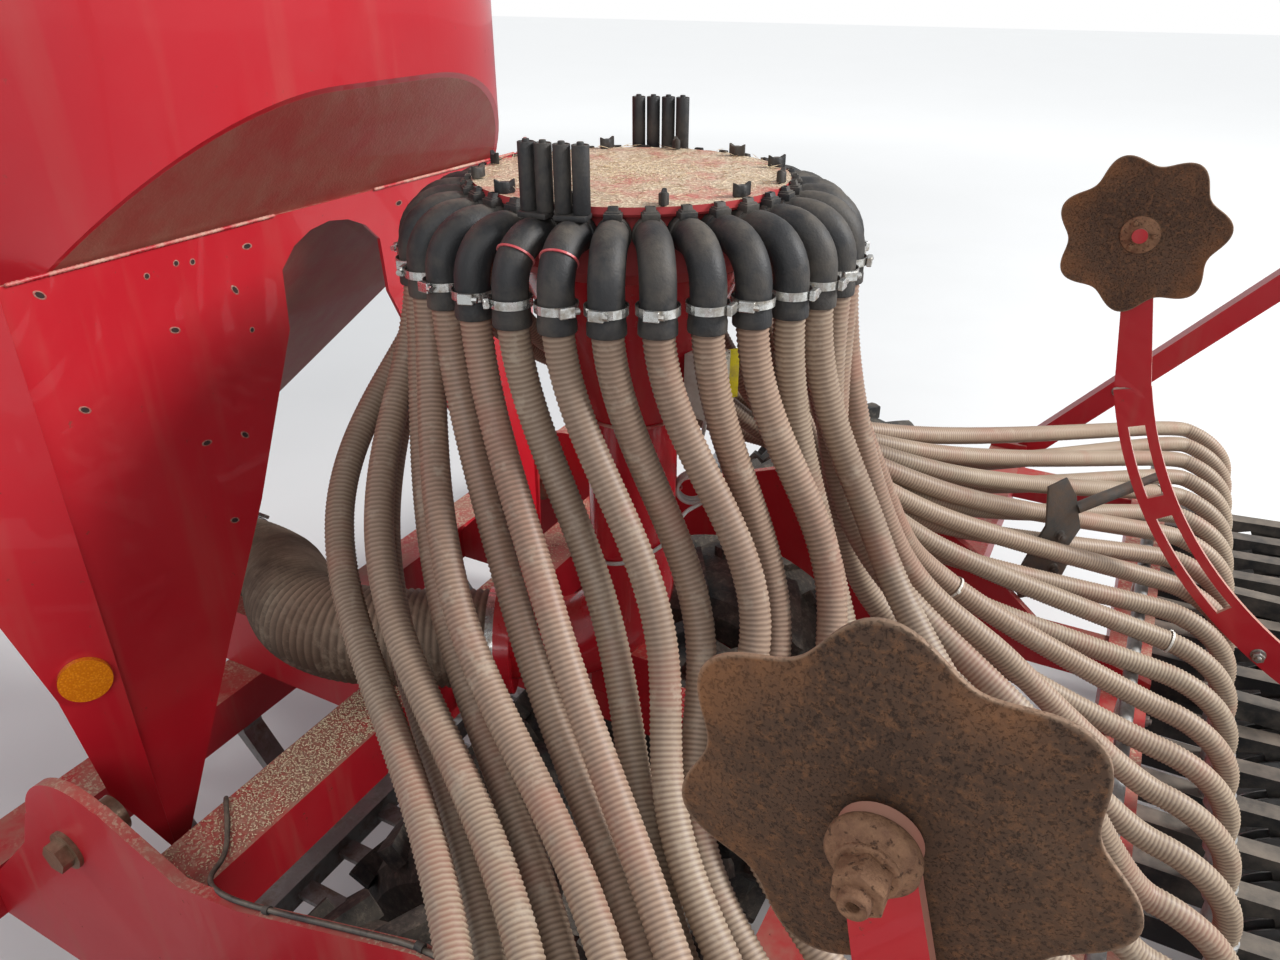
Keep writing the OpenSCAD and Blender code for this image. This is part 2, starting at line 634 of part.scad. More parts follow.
// Coulter arms, one for each row, with the leg between the opener discs and the press wheel's blade
disc_top = hub_z + opener_d / 2;
press_blade_y = press_w / 2 + 14;
module coulter_arm(y) {
    side_plate(y, arm_w) polygon([[rear_rail_x + 50, coulter_top], [rear_rail_x + 50, coulter_top - 60], [1140, coulter_top - 60],
        [1230, disc_top + 7], [1490, disc_top + 7], [1490, coulter_top + 5], [1430, coulter_top + 20], [1140, coulter_top]]);
    side_plate(y, 12) polygon([[1230, disc_top + 7], [1290, hub_z + 40], [hub_x - 26, hub_z - 26], [hub_x + 26, hub_z - 26],
        [1370, hub_z + 40], [1400, disc_top + 7]]);
    side_plate(y + press_blade_y, 10) polygon([[1440, coulter_top], [1440, disc_top + 7], [press_x - 26, press_z - 26],
        [press_x + 26, press_z - 20], [press_x + 26, press_z + 26], [1490, coulter_top]]);
    side_plate(y + (press_blade_y + 5) / 2, press_blade_y + 5)
        polygon([[1440, disc_top + 7], [1490, disc_top + 7], [1490, coulter_top], [1440, coulter_top]]);
    along_y([hub_x, y, hub_z], 60, opener_pin_d);
    along_y([press_x, y + (press_blade_y - 20) / 2, press_z], press_blade_y + 30, press_pin_d);
}
module coulter_arms() {
    color("black") both_sides() for (k = [half_rows : row_count - 1]) coulter_arm(row_y(k));
}

module seed_tubes() {
    color("silver") for (k = [0 : row_count - 1]) translate([seed_tube_x, row_y(k), coulter_top]) {
        cylinder(d = seed_tube_d, h = seed_tube_top - coulter_top);
        translate([0, 0, seed_tube_top - coulter_top - 20]) cylinder(d = hose_d + 6, h = 40 - seat_gap);
    }
}

module opener_disc(y, s) {
    r = opener_d / 2;
    pin_r = opener_pin_d / 2 + pin_gap;
    translate([hub_x, y, hub_z]) rotate([s * 90, 0, 0]) rotate_extrude()
        polygon([[pin_r, -26], [30, -26], [30, -22], [r, -16], [r, -16 + opener_t], [30, -22 + opener_t], [pin_r, -22 + opener_t]]);
}
module openers_right() {
    color("dimgray") for (k = [half_rows : row_count - 1]) for (s = [-1, 1]) opener_disc(row_y(k), s);
}
module openers_left() { mirror([0, 1, 0]) openers_right(); }

module press_wheel(y) {
    r = press_d / 2;
    pin_r = press_pin_d / 2 + pin_gap;
    translate([press_x, y, press_z]) rotate([90, 0, 0]) rotate_extrude()
        polygon([[pin_r, -20], [40, -20], [40, -6], [r - 40, -6], [r - 34, -press_w / 2], [r - 12, -press_w / 2], [r, -press_w / 4],
            [r, press_w / 4], [r - 12, press_w / 2], [r - 34, press_w / 2], [r - 40, 6], [40, 6], [40, 20], [pin_r, 20]]);
}
module press_wheels_right() {
    color("black") for (k = [half_rows : row_count - 1]) press_wheel(row_y(k));
}
module press_wheels_left() { mirror([0, 1, 0]) press_wheels_right(); }

// Harrow behind the press wheels, on arms that run between two rows
harrow_x = 1980;
harrow_z = 515;
harrow_arm_rows = [tram_row, tram_row + 4];
harrow_arm_w = 40;
harrow_arm_top = 650;
tine_turn = 133;
tine_d = 12;
tine_l = (rear_x - harrow_x + tine_d / 2 * cos(tine_turn)) / sin(tine_turn);
module harrow_beam() {
    color("dimgray")
        box(harrow_x - 30, harrow_x + 30, -rail_half + 20, rail_half - 20, harrow_z - 30, harrow_z + 30);
}
module harrow_arms() {
    color("dimgray") {
        both_sides() for (k = harrow_arm_rows) side_plate(row_y(half_rows + k) + row_free, harrow_arm_w)
            polygon([[rear_rail_x + 50, rail_top], [rear_rail_x + 50, rail_top - 60], [1760, harrow_arm_top - 60], [harrow_x - 30, harrow_z - 25],
                [harrow_x - 30, harrow_z + 32], [1840, harrow_arm_top], [1000, harrow_arm_top]]);
    }
}
module harrow_tines() {
    color("dimgray") {
        for (k = [0 : row_count - 1]) translate([harrow_x, row_y(k) * 0.99, harrow_z - 30 - tine_d / 2 * abs(sin(tine_turn)) - seat_gap])
            rotate([0, tine_turn, 0]) cylinder(d = tine_d, h = tine_l);
    }
}

tram_ear_t = 10;
module tram_brackets() {
    color("firebrick") both_sides() {
        for (s = [-1, 1]) side_plate(tram_half + s * (tram_t / 2 + move_gap + tram_ear_t / 2), tram_ear_t)
            polygon([[tram_pivot[0] - 60, harrow_arm_top], [tram_pivot[0] + 60, harrow_arm_top],
                [tram_pivot[0] + 30, tram_pivot[1] + 30], [tram_pivot[0] - 30, tram_pivot[1] + 30]]);
        along_y([tram_pivot[0], tram_half, tram_pivot[1]], tram_t + 2 * move_gap + 2 * tram_ear_t + 20, tram_pin_d);
    }
}

// Curved arm of a tramline marker, with slots
module band_2d(r, w, a0, a1) {
    intersection() {
        difference() {
            circle(r = r + w / 2, $fn = 180);
            circle(r = r - w / 2, $fn = 180);
        }
        polygon([[0, 0], pol(3 * r, a0), pol(3 * r, (a0 + a1) / 2), pol(3 * r, a1)]);
    }
}
module tram_arm_2d() {
    difference() {
        union() {
            translate(tram_arc) band_2d(tram_arc_r, tram_band, 195, 243);
            translate(tram_pivot) circle(d = 90);
            polygon([[1270, 690], [1300, 775], [1410, 744], [1400, 656]]);
            polygon([[tram_hub[0] - 26, tram_hub[1]], [tram_hub[0] + 26, tram_hub[1]], [812, 1366], [738, 1366]]);
            translate(tram_hub) circle(d = 60);
        }
        translate(tram_arc) band_2d(tram_arc_r, tram_band - 42, 200, 210);
        translate(tram_arc) band_2d(tram_arc_r, tram_band - 42, 213, 228);
        translate(tram_pivot) circle(d = tram_pin_d + 2 * pin_gap);
    }
}
module tram_arm_right() {
    color("crimson") {
        side_plate(tram_half, tram_t) tram_arm_2d();
        along_y([tram_hub[0], tram_half - tram_t / 2 - tram_stub / 2, tram_hub[1]], tram_stub, 30);
    }
}
// The left marker leans further forward than the right one
module leant() {
    translate([tram_pivot[0], 0, tram_pivot[1]]) rotate([0, -tram_lean, 0]) translate([-tram_pivot[0], 0, -tram_pivot[1]])
        mirror([0, 1, 0]) children();
}
module tram_arm_left() { leant() tram_arm_right(); }

module tram_disc_right() {
    color("saddlebrown") difference() {
        side_plate(tram_disc_y, 6) translate(tram_hub) polygon(wavy(tram_disc_d / 2, lobes, 0.15));
        along_y([tram_hub[0], tram_half, tram_hub[1]], 400, 30 + 2 * pin_gap);
    }
}
module tram_disc_left() { leant() tram_disc_right(); }

// Side marker: a long arm hinged at the end of the front rail, folded up and back
module side_frame() { translate(side_pivot) rotate([0, -side_tilt, 0]) children(); }
module side_brackets() {
    color("firebrick") both_sides() {
        box(front_rail_x - 60, front_rail_x + 60, rail_half, rail_half + 12, 500, 680);
        side_frame() {
            for (s = [-1, 1]) translate([-30, rail_half + 12 - side_pivot[1], s * (side_barrel_h / 2 + move_gap + 6) - 6])
                cube([60, 78, 12]);
            cylinder(d = 30 - 2 * pin_gap, h = side_barrel_h + 4 * move_gap + 12, center = true);
        }
    }
}
module side_arm_tube_right() {
    color("crimson") side_frame() {
        difference() {
            union() {
                cylinder(d = side_barrel_d, h = side_barrel_h, center = true);
                translate([20, -side_tube / 2, -side_tube / 2]) cube([1200, side_tube, side_tube]);
                translate([1200, -25, -25]) cube([side_len - 1200, 50, 50]);
            }
            cylinder(d = 30, h = 200, center = true);
        }
        translate([side_len - 20, 0, 0]) rotate([-90, 0, 0]) cylinder(d = 30, h = 90);
    }
}
module side_arm_tube_left() { mirror([0, 1, 0]) side_arm_tube_right(); }
module side_disc_right() {
    color("saddlebrown") side_frame() translate([side_len - 20, 62, 0]) rotate([-90, 0, 0]) difference() {
        linear_extrude(6) polygon(wavy(side_disc_d / 2, lobes, 0.15));
        translate([0, 0, -1]) cylinder(d = 30 + 2 * pin_gap, h = 10);
    }
}
module side_disc_left() { mirror([0, 1, 0]) side_disc_right(); }

// Loading platform on two bearers from the front legs, with its ladder and rails
platform_x0 = hopper_x0 - 560;
platform_z = 1430;
platform_y = 570;
rail_z = 2330;
module platform() {
    color("gray") {
        box(platform_x0, hopper_x0 - 40, seat_gap - platform_y, platform_y, platform_z - 30, platform_z);
        for (y = [-420, 420])
            box(platform_x0, 2 * hopper_mid - leg_x - leg_t - seat_gap, y - 25, y + 25, platform_z - 90, platform_z - 30);
    }
}
module ladder() {
    color("gray") {
        for (x = [platform_x0 + 40, platform_x0 + 440]) box(x, x + 30, -platform_y - 30, -platform_y, 420, platform_z);
        for (z = [460 : 240 : 1300]) box(platform_x0 + 40, platform_x0 + 470, -platform_y - 30, -platform_y, z, z + 30);
    }
}
module handrail() {
    color("gray") for (y = [-platform_y + 30, platform_y - 30]) {
        for (x = [platform_x0 + 20, platform_x0 + 480]) translate([x, y, platform_z]) cylinder(d = 34, h = rail_z - platform_z);
        for (z = [rail_z - 20, rail_z - 430]) translate([platform_x0 + 20, y, z]) rotate([0, 90, 0]) cylinder(d = 30, h = 460);
    }
    color("gray") for (z = [rail_z - 20, rail_z - 430])
        along_y([platform_x0 + 20, 0, z], 2 * platform_y - 60, 30);
}

module lamp_boards() {
    color("crimson") both_sides() box(harrow_x + 30, harrow_x + 40, 1300, 1720, harrow_z - 20, harrow_z + 160);
}
module side_reflectors() {
    color("orange") both_sides() translate([leg_x + leg_t, leg_crease, 0]) rotate([0, 0, cheek_turn])
        translate([50, -leg_t - seat_gap, 1131]) rotate([90, 0, 0]) cylinder(d = 82, h = 10);
}

module placed() { translate([-mid_x, 0, 0]) children(); }

placed() main_frame();
placed() drawbar();
placed() hitch_ring();
placed() jack_tube();
placed() jack_leg();
placed() hopper_body();
placed() hopper_funnel();
placed() hopper_grid();
placed() hopper_lid();
placed() rear_legs();
placed() front_legs();
placed() leg_pins();
placed() platform();
placed() ladder();
placed() handrail();
placed() metering_unit();
placed() fan_housing();
placed() fan_wheel();
placed() fan_pipe();
placed() air_duct();
placed() riser();
placed() distributor_head();
placed() outlet_elbows();
placed() tramline_valves();
placed() seed_hoses();
placed() hose_rest();
placed() rear_frame();
placed() side_arm_left();
placed() side_arm_right();
placed() scrapers();
placed() leveller();
placed() rims_left();
placed() rims_right();
placed() tyres_left();
placed() tyres_right();
placed() coulter_arms();
placed() seed_tubes();
placed() openers_left();
placed() openers_right();
placed() press_wheels_left();
placed() press_wheels_right();
placed() harrow_beam();
placed() harrow_arms();
placed() harrow_tines();
placed() tram_brackets();
placed() tram_arm_left();
placed() tram_arm_right();
placed() tram_disc_left();
placed() tram_disc_right();
placed() side_brackets();
placed() side_arm_tube_left();
placed() side_arm_tube_right();
placed() side_disc_left();
placed() side_disc_right();
placed() lamp_boards();
placed() side_reflectors();
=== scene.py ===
# Trailed air seed drill, folded for the road and parked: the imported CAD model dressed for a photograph.
# Lengths are metres in the shared frame. The seed tower stands at x = 1.45, y = 0.
import json
from math import cos, pi, radians, sin, sqrt

import bmesh
import bpy
import numpy as np
from mathutils import Euler, Matrix, Vector

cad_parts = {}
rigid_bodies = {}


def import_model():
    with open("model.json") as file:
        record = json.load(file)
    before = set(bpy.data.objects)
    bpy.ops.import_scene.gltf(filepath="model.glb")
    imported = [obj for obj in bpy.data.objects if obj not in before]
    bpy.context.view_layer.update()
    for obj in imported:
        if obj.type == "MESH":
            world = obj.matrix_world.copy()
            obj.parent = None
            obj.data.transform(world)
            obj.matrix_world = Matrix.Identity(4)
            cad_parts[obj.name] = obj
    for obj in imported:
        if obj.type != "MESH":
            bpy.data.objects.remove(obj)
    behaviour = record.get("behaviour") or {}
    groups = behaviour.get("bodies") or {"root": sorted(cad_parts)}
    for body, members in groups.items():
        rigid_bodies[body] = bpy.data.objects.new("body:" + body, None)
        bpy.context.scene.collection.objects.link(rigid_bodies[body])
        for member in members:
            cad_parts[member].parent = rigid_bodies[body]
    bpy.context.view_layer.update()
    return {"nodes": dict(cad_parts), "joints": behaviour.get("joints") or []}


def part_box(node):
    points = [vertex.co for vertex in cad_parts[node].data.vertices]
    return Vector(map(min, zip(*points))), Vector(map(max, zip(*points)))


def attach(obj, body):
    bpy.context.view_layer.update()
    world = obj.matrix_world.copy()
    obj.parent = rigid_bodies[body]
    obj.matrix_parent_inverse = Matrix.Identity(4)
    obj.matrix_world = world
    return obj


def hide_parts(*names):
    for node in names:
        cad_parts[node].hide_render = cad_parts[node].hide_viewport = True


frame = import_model()

# Camera, floor and lamps. The view is the photograph's: from behind the coulter rail on the left side,
# a little above the seed head, looking forwards and down. Lamps are large and soft, the key from rear right.
def placed(name, data):
    """Puts new data into the scene as an object."""
    thing = bpy.data.objects.new(name, data)
    bpy.context.collection.objects.link(thing)
    return thing


view = bpy.data.cameras.new("view")
view.lens = 27.0
view.sensor_width = 36.0
view.clip_end = 200.0
camera = placed("camera", view)
camera.location = (2.188, -1.36, 2.18)
camera.rotation_euler = Euler((radians(62.0), 0.0, radians(28.0)))
bpy.context.scene.camera = camera
bpy.context.scene.view_settings.view_transform = "Standard"


class Tone:
    """One socket of a finish. Sums, products and comparisons of tones add their own Math nodes."""

    def __init__(self, tree, socket):
        self.tree, self.socket = tree, socket

    def add(self, kind, settings=None, values=None, out=0):
        """Adds any other node: its settings first, then values or tones on its sockets."""
        node = self.tree.nodes.new("ShaderNode" + kind)
        for name, value in (settings or {}).items():
            setattr(node, name, value)
        for name, value in (values or {}).items():
            if isinstance(value, Tone):
                self.tree.links.new(value.socket, node.inputs[name])
            else:
                node.inputs[name].default_value = (*value, 1.0) if node.inputs[name].type == "RGBA" else value
        return Tone(self.tree, node.outputs[out])

    def maths(self, operation, a, b=0.0):
        return self.add("Math", {"operation": operation}, {0: a, 1: b})

    def __add__(self, other): return self.maths("ADD", self, other)
    def __sub__(self, other): return self.maths("SUBTRACT", self, other)
    def __rsub__(self, other): return self.maths("SUBTRACT", other, self)
    def __mul__(self, other): return self.maths("MULTIPLY", self, other)
    def __gt__(self, other): return self.maths("GREATER_THAN", self, other)
    __radd__ = __add__
    __rmul__ = __mul__

    def between(self, low, high):
        """0 below low, 1 above high and an even slope between them."""
        return self.add("MapRange", {"clamp": True}, {"Value": self, "From Min": low, "From Max": high})

    def over(self, under, top):
        """Shows top where this mask is 1 and under where it is 0."""
        return self.add("Mix", {"data_type": "RGBA"}, {"Factor": self, 6: under, 7: top}, out=2)

    def scaled(self, size):
        return self.add("VectorMath", {"operation": "MULTIPLY"}, {0: self, 1: size})

    def cloud(self, scale, detail=3.0, rough=0.55, low=0.35, high=0.65):
        """Soft patches of a noise between low and high, on these coordinates."""
        grain = self.add("TexNoise", {}, {"Vector": self, "Scale": scale, "Detail": detail, "Roughness": rough})
        return grain.between(low, high)

    def part(self, axis):
        return self.add("SeparateXYZ", {}, {0: self}, out=axis)

    def read(self, label):
        """A value that the mesh holds on its points."""
        return self.add("Attribute", {"attribute_name": label}, out="Fac")

    def facing_up(self, low, high):
        """How far the surface faces the sky, where dust and seed lie."""
        return self.add("NewGeometry", out="Normal").part("Z").between(low, high)


def new_finish(name, metal=0.0, rough=0.5, coat=0.0, shine=0.5):
    """A material with its shader and the Object coordinates that its pattern reads."""
    finish = bpy.data.materials.new(name)
    finish.use_nodes = True
    tree = finish.node_tree
    shader = tree.nodes["Principled BSDF"]
    for socket, value in {"Metallic": metal, "Roughness": rough, "Coat Weight": coat,
                          "Specular IOR Level": shine}.items():
        shader.inputs[socket].default_value = value
    place = Tone(tree, tree.nodes.new("ShaderNodeTexCoord").outputs["Object"])
    return finish, shader, place


def feed(shader, socket, tone):
    shader.id_data.links.new(tone.socket, shader.inputs[socket])


def relief(shader, height, depth, strength=1.0):
    """Height in metres felt through a Bump node on the shader's normal."""
    bump = height.add("Bump", {}, {"Height": height, "Distance": depth, "Strength": strength})
    feed(shader, "Normal", bump)


def wear(shader, colour, rough=None, metal=None, bump=None):
    """Feeds a finish its colour, what else varies over it, and the height, depth and strength of its bump."""
    for socket, tone in (("Base Color", colour), ("Roughness", rough), ("Metallic", metal)):
        if tone:
            feed(shader, socket, tone)
    if bump:
        relief(shader, *bump)


def dress(finish, *nodes):
    """Gives a finish to CAD nodes whose shape stays as it is."""
    for name in nodes:
        slots = frame["nodes"][name].data.materials
        slots.clear()
        slots.append(finish)


def clear_selection():
    if bpy.context.object and bpy.context.object.mode != "OBJECT":
        bpy.ops.object.mode_set(mode="OBJECT")
    bpy.ops.object.select_all(action="DESELECT")


clear_selection()
bpy.ops.mesh.primitive_plane_add(size=90.0)
floor = bpy.context.object
floor.name = "studio_floor"
floor_finish, shader, place = new_finish("studio_floor", rough=0.9, shine=0.1)
feed(shader, "Base Color", place.cloud(0.6, 4, 0.6, 0.3, 0.7).over((0.7, 0.7, 0.69), (0.74, 0.74, 0.73)))
ray = place.add("LightPath", out="Is Camera Ray")
far = place.add("VectorMath", {"operation": "LENGTH"}, {0: place}, out="Value").between(3.0, 14.0) * ray
feed(shader, "Emission Color", far.over((0.02, 0.02, 0.02), (0.62, 0.62, 0.61)))
shader.inputs["Emission Strength"].default_value = 1.0
floor.data.materials.append(floor_finish)

world = bpy.data.worlds.new("studio")
world.use_nodes = True
bpy.context.scene.world = world
sky = world.node_tree.nodes["Background"]
path = Tone(world.node_tree, world.node_tree.nodes.new("ShaderNodeLightPath").outputs["Is Camera Ray"])
glossy = Tone(world.node_tree, path.socket.node.outputs["Is Glossy Ray"])
shown = path.maths("MAXIMUM", path, glossy * 0.6)
feed(sky, "Color", shown.over((0.62, 0.66, 0.72), (1.0, 1.0, 1.0)))
feed(sky, "Strength", shown * 0.42 + 0.58)
for name, spot, size, power in (
    ("key_lamp", (9.5, 3.8, 7.6), 3.0, 1500.0),
    ("fill_lamp", (4.5, -7.5, 5.5), 5.0, 260.0),
    ("front_lamp", (-8.0, -4.0, 7.0), 5.0, 300.0),
):
    lamp = bpy.data.lights.new(name, "AREA")
    lamp.size = size
    lamp.energy = power
    stand = placed(name, lamp)
    stand.location = spot
    stand.rotation_euler = (Vector((1.0, 0.0, 1.0)) - Vector(spot)).to_track_quat("-Z", "Y").to_euler()


# Seed hoses: ribbed plastic pipe 46 mm across, one from every outlet of the head to its coulter row. They are
# held at both ends by their clamps and lie in two layers. Dust has settled on the low runs and red dust lies mostly
# between the ribs; the rib valleys are also painted dark as shade.
row_pitch = 0.125
rows = 32
tower_x = 1.45
hose_ring = 0.343
hose_top = 1.797
hose_end = 0.72
rib_pitch = 0.0074


def meet(a, slope_a, b, slope_b, t):
    return ((2 * t**3 - 3 * t * t + 1) * a + (t**3 - 2 * t * t + t) * slope_a
            + (3 * t * t - 2 * t**3) * b + (t**3 - t * t) * slope_b)


def hose_route(row):
    """Close points of one hose from its elbow to its seed tube, measured from the tower's axis."""
    half = rows // 2
    side = -1 if row < half else 1
    nth = half - 1 - row if side < 0 else row - half
    u, layer, y = nth / (half - 1), nth % 2, (row - half + 0.5) * row_pitch
    turn = radians(side * (nth + 0.5) * 360 / rows + 6)
    low = 1 - u if side > 0 else 0.0
    last = 0.03 if side > 0 and nth == half - 1 else 0.0
    reach = hose_ring + 0.072 + 0.06 * u + 0.044 * layer
    steep = 0.15 * sin(pi * min(u / 0.65, 1))
    elbow = np.array([hose_ring * cos(turn), hose_ring * sin(turn), hose_top])
    bulge = np.array(
        [reach * cos(0.74 * turn), reach * sin(0.74 * turn), 1.375 + 0.04 * layer - 0.12 * low - last])
    saddle = np.array([0.76 - 0.48 * u - steep, y / (1 + 1.15 * u), 1.12 - 0.04 * u + 0.058 * layer - 0.11 * low])
    over_row = np.array([0.975, y, 0.872])
    end = np.array([1.11, y, hose_end])
    below, above = elbow - (0, 0, 0.014), end + np.array([0, 0, 0.014])
    stops = [(below, np.array([0, 0, -0.48])), (bulge, (saddle - elbow) * 0.55), (saddle, (over_row - bulge) * 0.5),
             (over_row, np.array([0.19, 0, -0.04])), (above, np.array([0, 0, -0.23]))]
    points = [elbow]
    for (a, slope_a), (b, slope_b) in zip(stops, stops[1:]):
        points += [meet(a, slope_a, b, slope_b, t) for t in np.linspace(0, 1, 40, endpoint=False)]
    return np.array(points + [above, end]) + (tower_x, 0, 0)


def even_steps(points, step):
    """The same route in equal steps close to the wanted one."""
    lengths = np.r_[0, np.cumsum(np.linalg.norm(np.diff(points, axis=0), axis=1))]
    count = max(2, round(lengths[-1] / step))
    marks = np.linspace(0, lengths[-1], count + 1)
    return np.stack([np.interp(marks, lengths, points[:, k]) for k in range(3)], axis=1)


def rings_along(route, radii, sides):
    """Points of rings square to a route, without twist from one to the next."""
    ways = np.gradient(route, axis=0)
    ways /= np.linalg.norm(ways, axis=1)[:, None]
    across = np.cross(ways[0], (1, 0, 0) if abs(ways[0][2]) > 0.9 else (0, 0, 1))
    turns = np.linspace(0, 2 * pi, sides, endpoint=False)
    rings = []
    for centre, way, radius in zip(route, ways, radii):
        across = across - across.dot(way) * way
        across /= np.linalg.norm(across)
        other = np.cross(way, across)
        rings.append(centre + radius * (np.cos(turns)[:, None] * across + np.sin(turns)[:, None] * other))
    return np.array(rings)


def new_piece(name, points, faces, **values):
    """A mesh object of these points and faces, with each named value on its points."""
    mesh = bpy.data.meshes.new(name)
    mesh.from_pydata([tuple(point) for point in points], [], faces)
    for label, numbers in values.items():
        mesh.attributes.new(label, "FLOAT", "POINT").data.foreach_set("value", np.array(numbers, np.float32))
    return placed(name, mesh)


def ribbed_pipes(name, routes, pitch, valley, crest, sides, shades=None):
    """One mesh of closed corrugated pipes, with their length as UV and a rib and shade value on each point."""
    points, faces, uvs, ribs, tints = [], [], [], [], []
    for route, shade in zip(routes, shades or [0.5] * len(routes)):
        route = even_steps(route, pitch / 2)
        count = len(route)
        rib = np.arange(count) % 2
        start = len(points)
        rings = rings_along(route, np.where(rib, crest, valley), sides)
        points += list(rings.reshape(-1, 3))
        ribs += list(np.repeat(rib, sides))
        tints += [shade] * (count * sides)
        for i in range(count - 1):
            for k in range(sides):
                a, b = start + i * sides + k, start + i * sides + (k + 1) % sides
                faces.append((a, b, b + sides, a + sides))
                uvs += [(k / sides, i), ((k + 1) / sides, i), ((k + 1) / sides, i + 1), (k / sides, i + 1)]
        faces.append(tuple(start + k for k in reversed(range(sides))))
        faces.append(tuple(start + (count - 1) * sides + k for k in range(sides)))
        uvs += [(k / sides, 0) for k in reversed(range(sides))] + [(k / sides, count - 1) for k in range(sides)]
    piece = new_piece(name, points, faces, rib=ribs, shade=tints)
    piece.data.uv_layers.new(name="along").data.foreach_set("uv", np.array(uvs, np.float32).ravel())
    piece.data.polygons.foreach_set("use_smooth", [True] * len(faces))
    return piece


def fit(piece, finish, slot, *replaced, body="frame"):
    """Gives a finished piece its material and body, and the CAD nodes that it stands for. The slot is not used."""
    piece.data.materials.clear()
    piece.data.materials.append(finish)
    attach(piece, body)
    if replaced:
        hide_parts(*replaced)
    return piece


hose_finish, shader, place = new_finish("ribbed_hose", rough=0.62, shine=0.35)
crest = place.read("rib")
shade = place.read("shade")
height = place.part("Z")
fresh = shade.over((0.275, 0.205, 0.145), (0.32, 0.195, 0.138))
drying = (1.0 - height.between(0.75, 1.45)) * 0.65 + place.cloud(3, 3, 0.6, 0.4, 0.7) * 0.35
plastic = drying.over(fresh, (0.52, 0.42, 0.3))
# Painted shade: the rib valleys are darkened towards dark brown.
groove_shaded = ((1.0 - crest) * 0.75).over(plastic, (0.12, 0.068, 0.048))
red_dust = place.cloud(7, 4, 0.6, 0.52, 0.66) * 0.35 * (1.0 - crest * 0.5)
groove_shaded = red_dust.over(groove_shaded, (0.33, 0.12, 0.085))
soil = place.cloud(26, 4, 0.7, 0.56, 0.7) * 0.45
wear(shader, soil.over(groove_shaded, (0.42, 0.35, 0.27)), rough=0.5 + soil * 0.4)

for name, picked in (("seed_hoses_left", range(rows // 2)), ("seed_hoses_right", range(rows // 2, rows))):
    shades = [((row * 7919) % 13) / 12 for row in picked]
    piece = ribbed_pipes(name, [hose_route(row) for row in picked], rib_pitch, 0.0213, 0.0231, 10, shades)
    fit(piece, hose_finish, "ribbed_hose", "seed_hoses")


# Front frame: welded box beams, a spine under the hopper and a cross beam before the packer, painted red.
# Dust and spilt seed lie on every top face and the paint is rubbed to primer and rust along handled parts.
def red_paint(name, gloss=0.38, dust=0.5, rust=0.3, faded=0.35):
    """Red machine paint, with sun-faded patches, dust on the faces that look up and small chips."""
    finish, shader, place = new_finish(name, rough=gloss, coat=0.25, shine=0.45)
    red = place.cloud(1.3, 3, 0.6, 0.3, 0.7).over((0.5, 0.01, 0.02), (0.4, 0.008, 0.016))
    pale = place.cloud(3.5, 5, 0.65, 0.45, 0.75) * faded
    red = pale.over(red, (0.48, 0.06, 0.06))
    drips = place.scaled((9.0, 9.0, 0.8)).cloud(1.6, 3, 0.6, 0.55, 0.8) * 0.35 * dust
    film = place.facing_up(0.3, 1.0) * place.cloud(5, 5, 0.7, 0.35, 0.62) * dust
    film = film.maths("MAXIMUM", film, drips)
    grit = place.cloud(140, 2, 0.6, 0.5, 0.62) * place.facing_up(0.5, 1.0)
    grit = grit * place.cloud(4, 3, 0.6, 0.42, 0.6) * dust
    dusty = film.over(red, (0.33, 0.225, 0.155))
    dusty = grit.over(dusty, (0.52, 0.42, 0.29))
    chip = place.cloud(38, 5, 0.75, 0.665, 0.69) * rust
    chipped = chip.over(dusty, (0.11, 0.045, 0.025))
    wear(shader, chipped, rough=gloss + film * 0.35 + chip * 0.4,
         bump=(place.cloud(220, 2, 0.5, 0.3, 0.7) * 0.1 + grit * 1.2 - chip * 0.5, 0.0008, 0.5))
    return finish


frame_red = red_paint("frame_red", gloss=0.45, dust=0.75, rust=0.8)
frame_red.node_tree.nodes["Principled BSDF"].inputs["Coat Weight"].default_value = 0.06  # almost no gloss
dress(frame_red, "main_frame", "drawbar", "jack_tube", "rear_frame", "side_arm_left", "side_arm_right", "fan_housing",
      "side_brackets", "tram_brackets")

# Bare steel: hitch ring, tyre scrapers, levelling tools, harrow tines and opener discs, worn bright in places
# and brown elsewhere.
def bare_steel(name, bright=0.5, brown=0.5, rough=0.45):
    finish, shader, place = new_finish(name, metal=0.8, rough=rough)
    steel = place.cloud(6, 4, 0.6, 0.3, 0.7).over((0.22, 0.21, 0.2), (0.42 * bright + 0.15,) * 3)
    stain = place.cloud(16, 6, 0.7, 0.62 - 0.25 * brown, 0.72)
    wear(shader, stain.over(steel, (0.115, 0.052, 0.028)), metal=0.85 - stain * 0.75, rough=rough + stain * 0.4,
         bump=(stain * 0.4 + place.cloud(300, 2, 0.6, 0.3, 0.7) * 0.2, 0.0006, 0.6))
    return finish


worn_steel = bare_steel("worn_steel", bright=0.6, brown=0.55)
dress(worn_steel, "hitch_ring", "scrapers", "leveller", "harrow_tines")
disc_steel = bare_steel("opener_disc_steel", bright=1.0, brown=0.35, rough=0.3)
dress(disc_steel, "openers_left", "openers_right")

